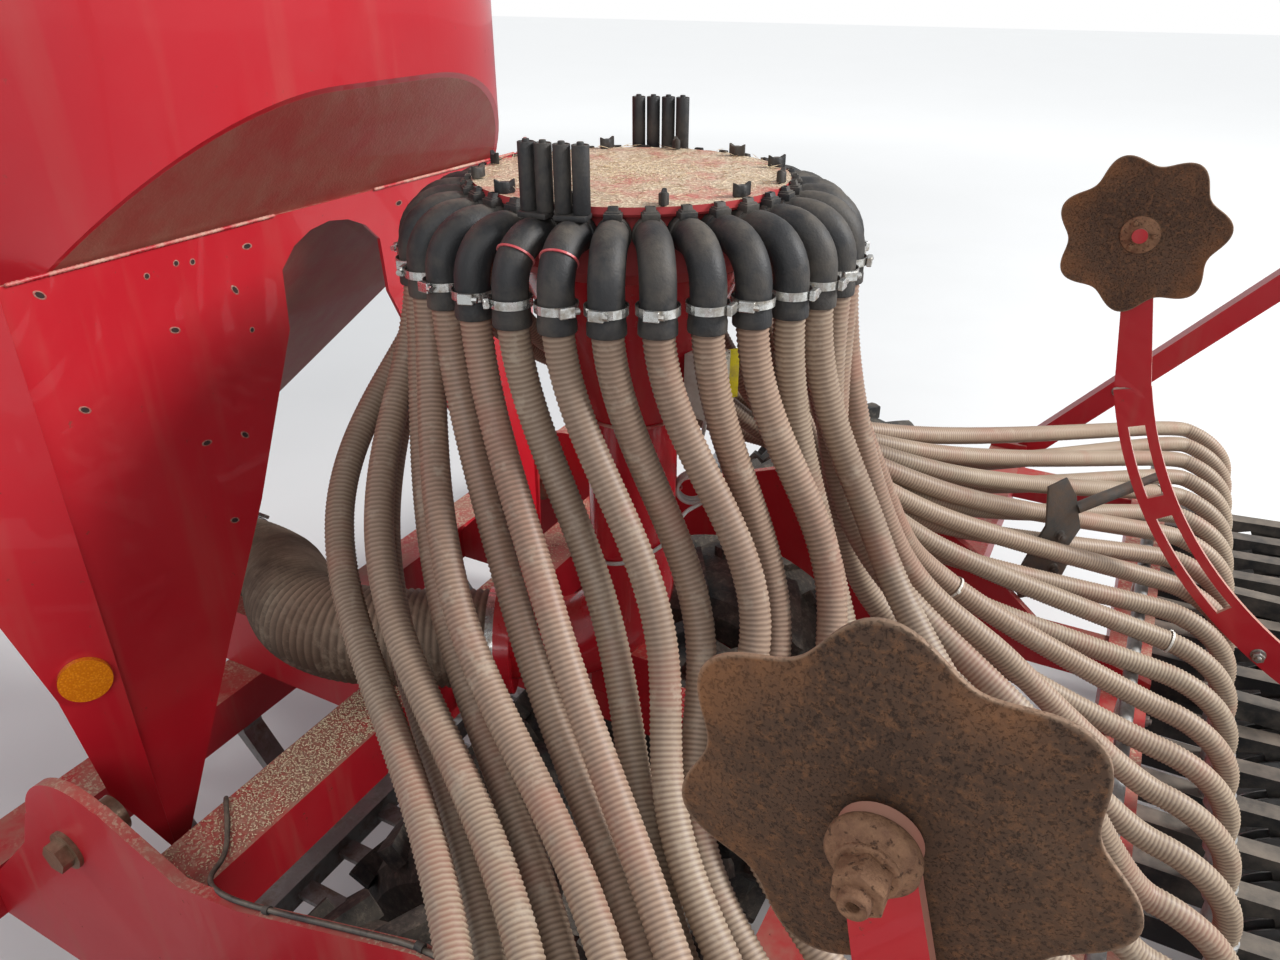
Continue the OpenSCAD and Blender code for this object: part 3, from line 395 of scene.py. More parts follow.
# Galvanised parts: dull zinc with the spangle of hot dipping, dust in the corners.
galvanised, shader, place = new_finish("galvanised", metal=0.75, rough=0.42)
spangle = place.add("TexVoronoi", {}, {"Vector": place, "Scale": 90.0}, out="Color")
zinc = place.add("RGBToBW", {}, {0: spangle}).over((0.34, 0.35, 0.35), (0.52, 0.53, 0.53))
film = place.facing_up(0.4, 1.0) * place.cloud(5, 4, 0.7, 0.4, 0.6) * 0.3
dirt = place.cloud(9, 5, 0.7, 0.5, 0.72) * 0.7 + film
wear(shader, dirt.over(zinc, (0.27, 0.215, 0.16)), metal=0.75 - dirt * 0.7, rough=0.4 + dirt * 0.4)
dress(galvanised, "jack_leg", "hose_rest", "seed_tubes", "fan_wheel", "platform", "ladder", "handrail", "hopper_grid")

# Hopper: rolled and welded steel sheet, painted. The upright walls shine. The funnel below is dull, a darker red as
# painted shade under a brown film that is partly dust and partly painted reflection of the ground.
hopper_red = red_paint("hopper_red", gloss=0.28, dust=0.25, rust=0.25, faded=0.2)
dress(hopper_red, "hopper_body", "hopper_lid")
leg_red = red_paint("leg_red", gloss=0.36, dust=0.4, rust=0.55, faded=0.3)
dress(leg_red, "rear_legs", "front_legs")
funnel_red, shader, place = new_finish("funnel_red", rough=0.5, coat=0.1, shine=0.4)
film = place.cloud(2.5, 6, 0.7, 0.3, 0.75)
streaks = place.scaled((6.0, 6.0, 1.2)).cloud(2, 5, 0.7, 0.4, 0.75)
# Painted shade and reflection: the red is darker than the tank's, and the brown film is partly dust, partly ground
# colour.
brown = (film * 0.6 + streaks * 0.35).over((0.3, 0.016, 0.018), (0.29, 0.165, 0.11))
wear(shader, brown, bump=(place.cloud(160, 3, 0.6, 0.4, 0.7), 0.0005, 0.4))
dress(funnel_red, "hopper_funnel")

# Pivot pins of the hopper legs, in grease and rust. Their finish is made as those of most small pieces are.
def patchy(name, cloud, under, top, rough=0.5, rougher=0.0, metal=0.0, duller=0.0, shine=0.5, bump=None):
    """Two colours in soft patches, the top one rougher and duller. Its bump is of the patches or of a finer cloud."""
    finish, shader, place = new_finish(name, metal, rough, shine=shine)
    patches = place.cloud(*cloud)
    feed(shader, "Base Color", patches.over(under, top))
    if duller:
        feed(shader, "Metallic", metal - patches * duller)
    if rougher:
        feed(shader, "Roughness", rough + patches * rougher)
    if bump:
        depth, strength, *grain = bump
        relief(shader, place.cloud(*grain) if grain else patches, depth, strength)
    return finish


dress(patchy("greasy_pin", (22, 6, 0.7, 0.35, 0.65), (0.3, 0.2, 0.13), (0.13, 0.06, 0.034), rough=0.4,
             metal=0.7, duller=0.6, bump=(0.0008, 0.7)), "leg_pins")

# Black paint, dusty on top: metering unit, fan pipe, coulter arms and harrow. The riser is red and glossy.
black_paint, shader, place = new_finish("black_paint", rough=0.45, coat=0.1)
film = place.facing_up(0.2, 1.0) * place.cloud(6, 4, 0.7, 0.3, 0.6) * 0.5
mud = place.cloud(8, 6, 0.7, 0.45, 0.75) * 0.45 + film
wear(shader, mud.over((0.02, 0.02, 0.02), (0.26, 0.21, 0.16)), rough=0.42 + mud * 0.45,
     bump=(mud + place.cloud(200, 2, 0.6, 0.4, 0.6) * 0.1, 0.001, 0.5))
dress(black_paint, "metering_unit", "fan_pipe", "coulter_arms", "harrow_beam", "harrow_arms")
dress(red_paint("riser_red", gloss=0.25, dust=0.35, rust=0.3, faded=0.2), "riser")

# Wheels: packer tyres on red rims, and press wheels whose rubber tread begins 122 mm from their axle, all with
# dry soil on the rubber.
tyre_rubber, shader, place = new_finish("tyre_rubber", rough=0.75, shine=0.3)
soil = place.cloud(7, 6, 0.7, 0.38, 0.7)
crumbs = place.cloud(60, 4, 0.7, 0.5, 0.65) * 0.6
rubber = (soil * 0.75).over((0.022, 0.022, 0.022), (0.2, 0.17, 0.135))
wear(shader, (crumbs * soil).over(rubber, (0.33, 0.275, 0.21)), rough=0.62 + soil * 0.3,
     bump=(soil + crumbs, 0.002, 0.5))
dress(tyre_rubber, "tyres_left", "tyres_right")
joint_spots = {joint["name"]: joint["pos_m"] for joint in frame["joints"]}
press_finish, shader, place = new_finish("press_wheel", rough=0.72, shine=0.3)
across = place.part("X") - joint_spots["press_left_spin"][0]
upwards = place.part("Z") - joint_spots["press_left_spin"][2]
tread = (across * across + upwards * upwards) > 0.122 ** 2
soil = place.cloud(9, 6, 0.7, 0.36, 0.7)
rim = (soil * 0.6).over((0.3, 0.29, 0.27), (0.26, 0.2, 0.14))
rubber = (soil * 0.8).over((0.024, 0.024, 0.024), (0.21, 0.175, 0.135))
wear(shader, tread.over(rim, rubber), rough=0.5 + tread * 0.15 + soil * 0.25,
     bump=(soil + place.cloud(70, 4, 0.7, 0.5, 0.65) * 0.5, 0.0015, 0.5))
dress(press_finish, "press_wheels_left", "press_wheels_right")
dress(red_paint("rim_red", gloss=0.5, dust=0.9, rust=0.8, faded=0.5), "rims_left", "rims_right")

# Markers: the tubes and lamp boards in red, the sheet arms of the tramline markers with grimy edges, and the
# rust of the discs: dark and pitted, fresher towards the rim and rubbed pale on the edge.
marker_red = red_paint("marker_red", gloss=0.4, dust=0.45, rust=0.6, faded=0.3)
dress(marker_red, "side_arm_tube_left", "side_arm_tube_right", "lamp_boards")
sheet_red = red_paint("marker_sheet_red", gloss=0.4, dust=0.45, rust=0.6, faded=0.3)
shader = sheet_red.node_tree.nodes["Principled BSDF"]
painted = Tone(sheet_red.node_tree, shader.inputs["Base Color"].links[0].from_socket)
facing = painted.add("NewGeometry", out="Normal").part("Y")
grimy = (1.0 - facing.maths("ABSOLUTE", facing).between(0.3, 0.9)) * 0.6
feed(shader, "Base Color", grimy.over(painted, (0.47, 0.3, 0.21)))
dress(sheet_red, "tram_arm_left", "tram_arm_right")
rusty_disc, shader, place = new_finish("rusty_disc", metal=0.15, rough=0.7, shine=0.35)
base = place.cloud(7, 5, 0.6, 0.3, 0.7).over((0.05, 0.026, 0.015), (0.098, 0.052, 0.03))
orange = place.cloud(120, 5, 0.7, 0.48, 0.66) * 0.7
base = orange.over(base, (0.18, 0.082, 0.036))
pits = place.cloud(300, 4, 0.75, 0.54, 0.64)
base = (pits * 0.62).over(base, (0.026, 0.016, 0.012))
dust = place.cloud(4, 4, 0.6, 0.45, 0.8) * 0.2
base = dust.over(base, (0.24, 0.16, 0.105))
rim = place.read("rim")
fresh = rim.between(0.62, 1.0) * place.cloud(9, 5, 0.65, 0.42, 0.62) * 0.75
base = fresh.over(base, (0.27, 0.115, 0.045))
base = (rim.between(0.975, 1.0) * 0.55).over(base, (0.36, 0.24, 0.16))
wear(shader, base, rough=0.6 + pits * 0.25, bump=(orange * 0.5 - pits, 0.0012, 0.8))

# Reflectors, rubber and plastic: amber with cells of 4 mm, dusty black rubber, and the head's cover, on which
# husk lies in patches.
amber, shader, place = new_finish("amber_reflector", rough=0.22, coat=0.6)
cells = place.add("TexVoronoi", {}, {"Vector": place, "Scale": 260.0})
wear(shader, cells.between(0.0, 0.6).over((0.85, 0.3, 0.01), (0.64, 0.17, 0.004)), bump=(cells, 0.001, 0.5))
dress(amber, "side_reflectors")
black_rubber, shader, place = new_finish("black_rubber", rough=0.55, shine=0.4)
film = place.facing_up(0.4, 1.0) * place.cloud(14, 4, 0.7, 0.4, 0.62) * 0.35
dusty = place.cloud(9, 5, 0.7, 0.42, 0.75) * 0.4 + film
wear(shader, dusty.over((0.018, 0.018, 0.019), (0.21, 0.175, 0.135)), rough=0.55 + dusty * 0.4,
     bump=(place.cloud(300, 2, 0.6, 0.4, 0.6) * 0.4 + dusty, 0.0006, 0.6))
dress(black_rubber, "outlet_elbows", "tramline_valves")
head_plastic, shader, place = new_finish("head_plate", rough=0.55)
chaff = place.facing_up(0.6, 1.0) * place.cloud(9, 5, 0.7, 0.3, 0.5)
speck = place.cloud(190, 2, 0.6, 0.45, 0.6)
seed = speck.over((0.47, 0.35, 0.23), (0.76, 0.64, 0.46))
wear(shader, chaff.over((0.42, 0.04, 0.042), seed), bump=(chaff * speck, 0.0018, 0.7))
dress(head_plastic, "distributor_head")

# Outlet elbows: moulded black rubber bends, one on every outlet of the head. Each has a collar at its neck,
# two moulding ribs and a loose lower end, in which the seed hose sits under a stainless worm clamp.
shift = Matrix.Translation


def spun(angle, axis="Z"):
    return Matrix.Rotation(angle, 4, axis)


def pick(*pieces):
    """Selects these pieces alone, in object mode, with the first one active."""
    clear_selection()
    for piece in pieces:
        piece.select_set(True)
    bpy.context.view_layer.objects.active = pieces[0]


def only(piece, axis, least=0.9, both=False, below=10.0):
    """Selects the faces of one piece that look along an axis, or along it both ways, in edit mode."""
    pick(piece)
    bpy.ops.object.mode_set(mode="EDIT")
    bpy.ops.mesh.select_mode(type="FACE")
    bpy.ops.mesh.select_all(action="DESELECT")
    shape = bmesh.from_edit_mesh(piece.data)
    for face in shape.faces:
        along = getattr(face.normal, axis)
        face.select_set((abs(along) if both else along) > least and face.calc_center_median().z < below)
    shape.select_flush(True)
    bmesh.update_edit_mesh(piece.data)


def terraced(piece, axis, *steps, both=False):
    """Insets the faces that look along the axis, then moves and resizes them, once for each step."""
    only(piece, axis, both=both)
    for width, way, *size in steps:
        bpy.ops.mesh.inset(thickness=width)
        if way:
            bpy.ops.mesh.extrude_region_move(TRANSFORM_OT_translate={"value": way})
        if size:
            bpy.ops.transform.resize(value=size[0])
    return piece


def settle(piece):
    """Puts a finished piece's place and turn into its mesh."""
    pick(piece)
    bpy.ops.object.transform_apply(location=True, rotation=True, scale=True)
    return piece


def bake_down(piece, kind, **settings):
    """Adds one modifier and applies it at once."""
    pick(piece)
    step = piece.modifiers.new(kind.lower(), kind)
    for name, value in settings.items():
        setattr(step, name, value)
    bpy.ops.object.modifier_apply(modifier=step.name)
    return piece


def smooth(piece, angle):
    pick(piece)
    bpy.ops.object.shade_smooth_by_angle(angle=radians(angle))
    return piece


def soften(piece, width, segments=2, angle=35.0):
    """Rounds the sharp edges and smooths the rest."""
    bake_down(piece, "BEVEL", width=width, segments=segments, limit_method="ANGLE", angle_limit=radians(angle))
    return smooth(piece, angle)


def join(name, *parts):
    """Joins finished shapes to one object."""
    for part in parts:
        settle(part)
    pick(*parts)
    bpy.ops.object.join()
    parts[0].name = name
    return parts[0]


def repeat(name, model, moves):
    """Copies a modelled shape to each place, with its own mesh, and joins the copies to one piece."""
    settle(model)
    clear_selection()
    for move in moves:
        copy = model.copy()
        copy.data = model.data.copy()
        copy.data.transform(move)
        bpy.context.collection.objects.link(copy)
        copy.select_set(True)
        bpy.context.view_layer.objects.active = copy
    bpy.data.objects.remove(model)
    if len(moves) > 1:
        bpy.ops.object.join()
    piece = bpy.context.view_layer.objects.active
    piece.name = name
    return piece


def cube(size, spot=(0, 0, 0)):
    clear_selection()
    bpy.ops.mesh.primitive_cube_add(size=1.0, location=spot, scale=size)
    return bpy.context.object


def drum(sides, radius, depth, spot, **more):
    clear_selection()
    bpy.ops.mesh.primitive_cylinder_add(vertices=sides, radius=radius, depth=depth, location=spot, **more)
    return bpy.context.object


def lathe(profile, steps=32):
    """A closed outline of radius and height, spun round the z axis."""
    clear_selection()
    bpy.ops.mesh.primitive_plane_add(size=0.001)
    piece = bpy.context.object
    shape = bmesh.new()
    line = [shape.verts.new((radius, 0.0, height)) for radius, height in profile]
    for a, b in zip(line, line[1:] + line[:1]):
        shape.edges.new((a, b))
    shape.to_mesh(piece.data)
    shape.free()
    bpy.ops.object.mode_set(mode="EDIT")
    bpy.ops.mesh.select_all(action="SELECT")
    bpy.ops.mesh.spin(steps=steps, angle=2 * pi, center=(0, 0, 0), axis=(0, 0, 1))
    bpy.ops.mesh.select_all(action="SELECT")
    bpy.ops.mesh.remove_doubles(threshold=0.00002)
    bpy.ops.mesh.normals_make_consistent(inside=False)
    bpy.ops.object.mode_set(mode="OBJECT")
    return piece


def band(inner, outer, half, steps):
    """A flat ring round z = 0."""
    return lathe([(inner, -half), (outer, -half), (outer, half), (inner, half)], steps)


def pull(way, size):
    """Extrudes the open edge of the pipe by a step and widens or narrows the new ring."""
    bpy.ops.mesh.extrude_region_move(TRANSFORM_OT_translate={"value": way})
    if size != 1.0:
        bpy.ops.transform.resize(value=(size, size, size))


outlet_z = 1.864
neck_x = 0.236
bend = 0.055
at_tower = shift((tower_x, 0, 0))
outlets = [at_tower @ spun(radians((k + 0.5) * 360 / rows + 6)) for k in range(rows)]
clear_selection()
bpy.ops.mesh.primitive_circle_add(
    vertices=20, radius=0.0225, location=(neck_x, 0, outlet_z), rotation=(0, pi / 2, 0))
elbow = settle(bpy.context.object)
bpy.ops.object.mode_set(mode="EDIT")
bpy.ops.mesh.select_all(action="SELECT")
for step, size in ((0.012, 1.0), (0.0, 1.12), (0.01, 1.0), (0.0, 0.93), (0.01, 1.0), (0.004, 1.06), (0.012, 1.0)):
    pull((step, 0, 0), size)
bpy.ops.mesh.spin(steps=9, angle=pi / 2, center=(0.284, 0, outlet_z - bend - 0.004), axis=(0, -1, 0))
for step, size in ((0.012, 1.0), (0.003, 1.05), (0.016, 1.0), (0.004, 1.04), (0.012, 1.0), (0.002, 0.98),
                   (0.0, 0.86), (-0.012, 1.0)):
    pull((0, 0, -step), size)
bpy.ops.mesh.select_all(action="SELECT")
bpy.ops.mesh.normals_make_consistent(inside=False)
soften(elbow, 0.0015, 2, 40)
fit(repeat("rubber_elbows", elbow, outlets), black_rubber, "black_rubber", "outlet_elbows")

# Worm clamps: stainless bands 12 mm wide with a screw housing, one round the lower end of each elbow, each
# turned a little on its hose.
clamp_z = 1.7905
strap = drum(28, 0.0288, 0.012, (hose_ring, 0, clamp_z), end_fill_type="NOTHING")
bake_down(strap, "SOLIDIFY", thickness=0.0012, offset=1.0)
housing = cube((0.008, 0.022, 0.0145), (hose_ring + 0.0335, 0, clamp_z))
terraced(housing, "x", (0.0, None, (1.0, 0.75, 0.6)))
soften(housing, 0.0012, 1)
screw = drum(8, 0.0045, 0.007, (hose_ring + 0.034, 0.0135, clamp_z), rotation=(pi / 2, 0, 0))
terraced(screw, "z", (0.0015, (0, 0.0015, 0)))
clamp_steel = patchy(
    "clamp_steel", (60, 4, 0.7, 0.45, 0.7), (0.55, 0.55, 0.53), (0.3, 0.26, 0.21), rough=0.25, rougher=0.35,
    metal=0.9)
turned = [spot @ shift((hose_ring, 0, 0)) @ spun(0.9 * sin(k * 2.4)) @ shift((-hose_ring, 0, 0))
          for k, spot in enumerate(outlets)]
fit(repeat("worm_clamps", join("clamp", strap, housing, screw), turned), clamp_steel, "galvanised")

# Distributor head: a pressed cover on a painted drum, held by wing nuts round its rim. Spilt seed, husk and
# straw lie on the cover, thickest in the middle, as they do after a day's sowing.
cover = lathe([(0.0, 1.8895), (0.0, 1.9035), (0.14, 1.903), (0.205, 1.901), (0.235, 1.899), (0.246, 1.896),
               (0.247, 1.89), (0.2435, 1.886), (0.238, 1.888)], 64)
fit(smooth(repeat("head_cover", cover, [at_tower]), 30), head_plastic, "head_plastic")

nut = drum(10, 0.0075, 0.016, (neck_x, 0, 1.908))
only(nut, "y", 0.85, both=True)
bpy.ops.mesh.extrude_region_shrink_fatten(TRANSFORM_OT_shrink_fatten={"value": 0.008})
bpy.ops.transform.resize(value=(0.5, 1.0, 1.2))
bpy.ops.transform.translate(value=(0, 0, 0.003))
soften(nut, 0.0012, 1)
spots = [at_tower @ spun(radians(k * 30 + 9)) @ shift((neck_x, 0, 0)) @ spun(k * 1.7) @ shift((-neck_x, 0, 0))
         for k in range(12)]
fit(repeat("cover_wing_nuts", nut, spots), black_rubber, "black_plastic")

# Snap clips: one black block with a ridged tongue over the neck of every outlet, pressed on the drum's rim.
clip = settle(cube((0.015, 0.02, 0.012), (0.2545, 0, 1.8905)))
terraced(clip, "z", (0.003, (-0.002, 0, 0.006)), (0.0015, (0, 0, -0.003)))
only(clip, "y", both=True, below=1.896)
bpy.ops.mesh.inset(thickness=0.0025)
bpy.ops.mesh.extrude_region_shrink_fatten(TRANSFORM_OT_shrink_fatten={"value": 0.0035})
soften(clip, 0.0008, 2)
fit(repeat("outlet_clips", clip, outlets), black_rubber, "black_plastic")

# Loose seed and straw on the cover and on the cross beam: flat grains and short stalks of a few faces each.
# Grains are 4 to 7 mm long, stalks 14 to 35 mm, and 75 of 100 grains on the beam lie near its left middle.
scatter = np.random.default_rng(41)
grains, faces = [], []
beam_half = 0.76


def drop_grain(x, y, z, long, wide):
    turn = scatter.uniform(0, pi)
    lean = scatter.uniform(-0.35, 0.35)
    way = np.array([cos(turn), sin(turn), lean])
    side = np.array([-sin(turn), cos(turn), 0.0])
    start = len(grains)
    centre = np.array([x, y, z + wide * 0.5 + abs(lean) * long * 0.5])
    for point in (way * long, side * wide, -way * long, -side * wide):
        grains.append(tuple(centre + point * 0.5))
    grains.append(tuple(centre + (0, 0, wide * 0.45)))
    grains.append(tuple(centre - (0, 0, wide * 0.45)))
    for k in range(4):
        faces.append((start + k, start + (k + 1) % 4, start + 4))
        faces.append((start + (k + 1) % 4, start + k, start + 5))


for _ in range(5200):
    reach, turn = 0.238 * scatter.uniform(0, 1) ** 0.62, scatter.uniform(0, 2 * pi)
    drop_grain(tower_x + reach * cos(turn), reach * sin(turn), 1.9015 - 0.011 * (reach / 0.24) ** 3,
               scatter.uniform(0.004, 0.007), scatter.uniform(0.0018, 0.003))
for _ in range(420):
    reach, turn = 0.236 * scatter.uniform(0, 1) ** 0.5, scatter.uniform(0, 2 * pi)
    drop_grain(tower_x + reach * cos(turn), reach * sin(turn), 1.903, scatter.uniform(0.014, 0.035), 0.0014)
for _ in range(5200):
    if scatter.uniform() < 0.75:
        y = float(np.clip(scatter.normal(-0.35, 0.22), -beam_half, beam_half))
    else:
        y = scatter.uniform(-beam_half, beam_half)
    drop_grain(1.0 + scatter.uniform(-0.056, 0.056), y, 0.8605, scatter.uniform(0.004, 0.007),
               scatter.uniform(0.0018, 0.003))
seed_husk = patchy(
    "seed_husk", (240, 2, 0.6, 0.3, 0.7), (0.42, 0.3, 0.18), (0.8, 0.68, 0.48), rough=0.75, shine=0.2)
fit(new_piece("loose_seed", grains, faces), seed_husk, "head_plastic")

# Shut-off motors of the tramline outlets: two round black cans 88 mm tall on a bracket, on four outlets, with
# a red cable tie round the elbow below.
can = drum(20, 0.0118, 0.088, (0.269, 0.013, 1.9385))
terraced(can, "z", (0.002, (0, 0, -0.0015)), (0.005, (0, 0, 0.005)))
soften(can, 0.0015, 2)
cans = repeat("cans", can, [Matrix(), shift((0, -0.026, 0))])
stand = soften(cube((0.031, 0.045, 0.008), (0.27, 0, 1.8905)), 0.002, 2)
motors = [outlets[k] for k in (8, 9, 23, 24)]
fit(repeat("tramline_motors", join("motor", cans, stand), motors), black_rubber, "black_plastic", "tramline_valves")
tie = band(0.0246, 0.0268, 0.0014, 28)
tie.data.transform(shift((0.3257, 0, 1.8467)) @ spun(-pi / 4, "Y"))
tie_red = patchy("tie_red", (30,), (0.5, 0.06, 0.07), (0.62, 0.2, 0.19), rough=0.4)
fit(repeat("cable_ties", tie, motors), tie_red, "orange_plastic")

# Air duct: corrugated suction hose from the fan's pipe, round the near side of the tower, to the cone at its
# foot. 195 mm across, a rib every 14 mm, held at both ends by a broad clamp with its bolt on top.
duct_points = [
    (-1.14, 0, 0.86), (-1.07, 0, 0.86), (-1.0, -0.016, 0.868), (-0.93, -0.052, 0.892), (-0.86, -0.103, 0.924),
    (-0.79, -0.155, 0.956), (-0.71, -0.215, 0.985), (-0.63, -0.257, 0.998), (-0.54, -0.262, 1.0),
    (-0.45, -0.236, 1.0), (-0.367, -0.195, 1.0), (-0.235, -0.125, 1.0)]


def rounded(points, times=3):
    """A route with its corners cut again and again, from the same start to the same end."""
    points = np.array(points, float)
    for _ in range(times):
        middles = (points[:-1] * 3 + points[1:]) / 4, (points[:-1] + points[1:] * 3) / 4
        points = np.concatenate([points[:1], np.stack(middles, axis=1).reshape(-1, 3), points[-1:]])
    return points


def aim(spot, way, turn=0.0):
    """Places a shape that was modelled on z = 0 and upright, with its z along the way."""
    return shift(spot) @ Vector((0, 0, 1)).rotation_difference(Vector(way)).to_matrix().to_4x4() @ spun(turn)


duct_route = rounded(duct_points) + (tower_x, 0, 0)
duct = ribbed_pipes("ribbed_duct", [duct_route], 0.014, 0.0925, 0.0985, 32)
duct_finish, shader, place = new_finish("duct_hose", rough=0.7, shine=0.3)
crest = place.read("rib")
dust = place.facing_up(-0.3, 0.9) * place.cloud(6, 5, 0.65, 0.25, 0.6)
hose = dust.over((0.085, 0.055, 0.036), (0.33, 0.235, 0.165))
# Painted shade: the rib valleys are darkened nearly to black.
hose = ((1.0 - crest) * 0.7).over(hose, (0.045, 0.027, 0.018))
wear(shader, (place.cloud(30, 4, 0.7, 0.5, 0.7) * 0.4).over(hose, (0.37, 0.29, 0.21)),
     bump=(place.cloud(120, 3, 0.6, 0.4, 0.7), 0.0008, 0.5))
fit(duct, duct_finish, "ribbed_hose", "air_duct")

lugs = cube((0.014, 0.042, 0.022), (0.108, 0, 0))
terraced(lugs, "y", (0.003, None, (0.7, 1.3, 0.7)), both=True)
duct_clamp = join("duct_clamp", band(0.0995, 0.1025, 0.009, 40), soften(lugs, 0.002, 2))
ends = [(duct_route[3], duct_route[4] - duct_route[2]), (duct_route[-3], duct_route[-2] - duct_route[-4])]
fit(repeat("duct_clamps", duct_clamp, [aim(spot, way, 2.4) for spot, way in ends]), clamp_steel, "galvanised")

# Marker discs: seven-lobed blades 5 mm thick with a shallow dish, of brown rust, that stand for the CAD discs.
# On the arm's outer face each has a cast bearing cap with its nut and the hollow end of the spindle, and on
# the blade's other face a flange with three small bolts.
cast_rust, shader, place = new_finish("cast_rust", metal=0.2, rough=0.7, shine=0.35)
flakes = place.cloud(55, 6, 0.75, 0.35, 0.68)
tone = flakes.over((0.15, 0.07, 0.038), (0.33, 0.18, 0.1))
pits = place.cloud(180, 3, 0.7, 0.58, 0.68)
wear(shader, (pits * 0.8).over(tone, (0.06, 0.03, 0.018)), rough=0.55 + flakes * 0.3,
     bump=(flakes - pits, 0.0012, 0.9))
blade_turns = {"left": -5.0, "right": -10.0}
hub_reach = 0.045
disc_share = 0.985  # half the height of a CAD disc, as a share of its blade's radius


def hex_bolt(across, tall=0.65, end=0.25):
    """A washer, a chamfered hexagon and the end of its thread, upright on z = 0."""
    washer = lathe(
        [(r * across, z * across) for r, z in ((0.28, 0), (0.68, 0), (0.68, 0.09), (0.62, 0.12), (0.28, 0.12))], 24)
    height = tall * across
    head = drum(6, across / sqrt(3), height, (0, 0, 0.11 * across + height / 2))
    bake_down(head, "BEVEL", width=0.045 * across, segments=2, limit_method="ANGLE", angle_limit=radians(70))
    thread = lathe([(r * across, z * across + height) for r, z in
                    ((0, 0.1), (0.3, 0.1), (0.3, 0.05 + end), (0.24, 0.11 + end), (0, 0.11 + end))], 16)
    return soften(join("bolt", washer, head, thread), 0.0004, 1, 50)


def hub_cap(size):
    """The cap, spacer, nut and spindle end, upright on z = 0."""
    cap = lathe([(0, 0), (0.034, 0), (0.035, 0.002), (0.035, 0.009), (0.0325, 0.012), (0.026, 0.015), (0.024, 0.021),
                 (0.0, 0.021)], 40)
    nut = hex_bolt(0.036, 0.62, 0.0)
    nut.data.transform(shift((0, 0, 0.019)))
    spindle = lathe(
        [(0.0048, 0.038), (0.0118, 0.038), (0.0118, 0.053), (0.0105, 0.0555), (0.0062, 0.0555), (0.0048, 0.054)], 28)
    whole = join("cap", cap, nut, spindle)
    whole.data.transform(Matrix.Scale(size, 4))
    return soften(whole, 0.0005, 1, 40)


def disc_flange():
    """The blade's own flange and its three bolts, upright on z = 0."""
    plate = lathe([(0, 0), (0.038, 0), (0.038, 0.004), (0.036, 0.005), (0.016, 0.006), (0.013, 0.012),
                   (0, 0.0135)], 40)
    thirds = [spun(k * 2 * pi / 3) @ shift((0.027, 0, 0.0045)) for k in range(3)]
    return soften(join("flange", plate, repeat("bolts", hex_bolt(0.01), thirds)), 0.0005, 1, 40)


def wavy_blade(radius, dish=0.007, sides=168, lobes=7, depth=0.17):
    """A dished blade with a lobed rim, upright on z = 0: rings of points, bridged and thickened."""
    shares = (0.12, 0.3, 0.5, 0.68, 0.82, 0.92, 0.975, 1.0)
    points, faces = [], []
    for share in shares:
        for k in range(sides):
            turn = 2 * pi * k / sides
            reach = radius * share * (1 - depth * (0.5 - 0.5 * cos(lobes * turn)) * share ** 2)
            points.append((reach * cos(turn), reach * sin(turn), -dish * share ** 2))
    points.append((0, 0, 0))
    for ring in range(len(shares) - 1):
        for k in range(sides):
            a, b = ring * sides + k, ring * sides + (k + 1) % sides
            faces.append((a, b, b + sides, a + sides))
    faces += [(len(points) - 1, (k + 1) % sides, k) for k in range(sides)]
    blade = new_piece("blade", points, faces, rim=list(np.repeat(shares, sides)) + [0.0])
    bake_down(blade, "SOLIDIFY", thickness=0.005, offset=0.0)
    return soften(blade, 0.0008, 2, 50)


for joint in frame["joints"]:
    if "_blade_" not in joint["name"]:
        continue
    name = joint["name"].replace("_spin", "")
    disc = name.replace("blade", "disc")
    arm = joint["parent"].replace("tram_marker", "tram_arm").replace("side_marker", "side_arm_tube")
    way, centre = Vector(joint["axis"]).normalized(), Vector(joint["pos_m"])
    along = [(v.co - centre).dot(way) for v in frame["nodes"][disc].data.vertices]
    offsets = [v.co - centre for v in frame["nodes"][arm].data.vertices]
    near = [off.dot(way) for off in offsets if (off - off.dot(way) * way).length < hub_reach]
    middle = sum(along) / len(along)
    sign = 1 if sum(near) / len(near) > middle else -1
    outer, inner = max(sign * a for a in near), min(sign * a for a in along)
    low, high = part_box(disc)
    turned = radians(blade_turns[name.split("_")[-1]])
    cap = repeat(name + "_hub", hub_cap(0.94), [aim(centre + way * sign * outer, way * sign)])
    fit(cap, cast_rust, "rusty_steel", body=joint["parent"])
    blade = wavy_blade((high.z - low.z) / 2 / disc_share)
    shaped = repeat(name + "_shaped", blade, [aim(centre + way * middle, way * sign, turned)])
    fit(shaped, rusty_disc, "rusty_steel", disc, body=joint["child"])
    flange = repeat(name + "_flange", disc_flange(), [aim(centre + way * sign * inner, -way * sign)])
    fit(flange, cast_rust, "rusty_steel", body=joint["child"])

# Punched slots of the rear legs: 8 mm holes, each a thin disc painted dark as the shade inside the hole, with a
# chipped rim of bare paint edges, as the press left them, on the flat sheet that faces the tower. y, z and lean are
# measured on the left leg's face.
leg_depth = 0.125
leg_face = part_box("rear_legs")[0].x + leg_depth
punched = [(-0.576, 1.765, 0.9), (-0.56, 1.578, 1.0), (-0.403, 1.749, 0.2), (-0.376, 1.651, 1.2),
           (-0.315, 1.751, 0.2), (-0.2, 1.751, 1.5), (-0.243, 1.684, 0.6), (-0.346, 1.756, 0.3),
           (-0.285, 1.421, 0.8), (-0.366, 1.439, 1.4), (-0.224, 1.605, 0.4), (-0.346, 1.27, 1.1)]
slots = [shift((leg_face, side * y, z)) @ spun(side * lean, "X") @ spun(pi / 2, "Y")
         @ Matrix.Diagonal((1.0 + 0.9 * (lean > 0.5), 1.0, 1.0, 1.0)) for side in (1, -1) for y, z, lean in punched]
rim = lathe([(0.0038, -0.0004), (0.004, 0.0006), (0.005, 0.0006), (0.0057, 0.0001), (0.0057, -0.0004)], 20)
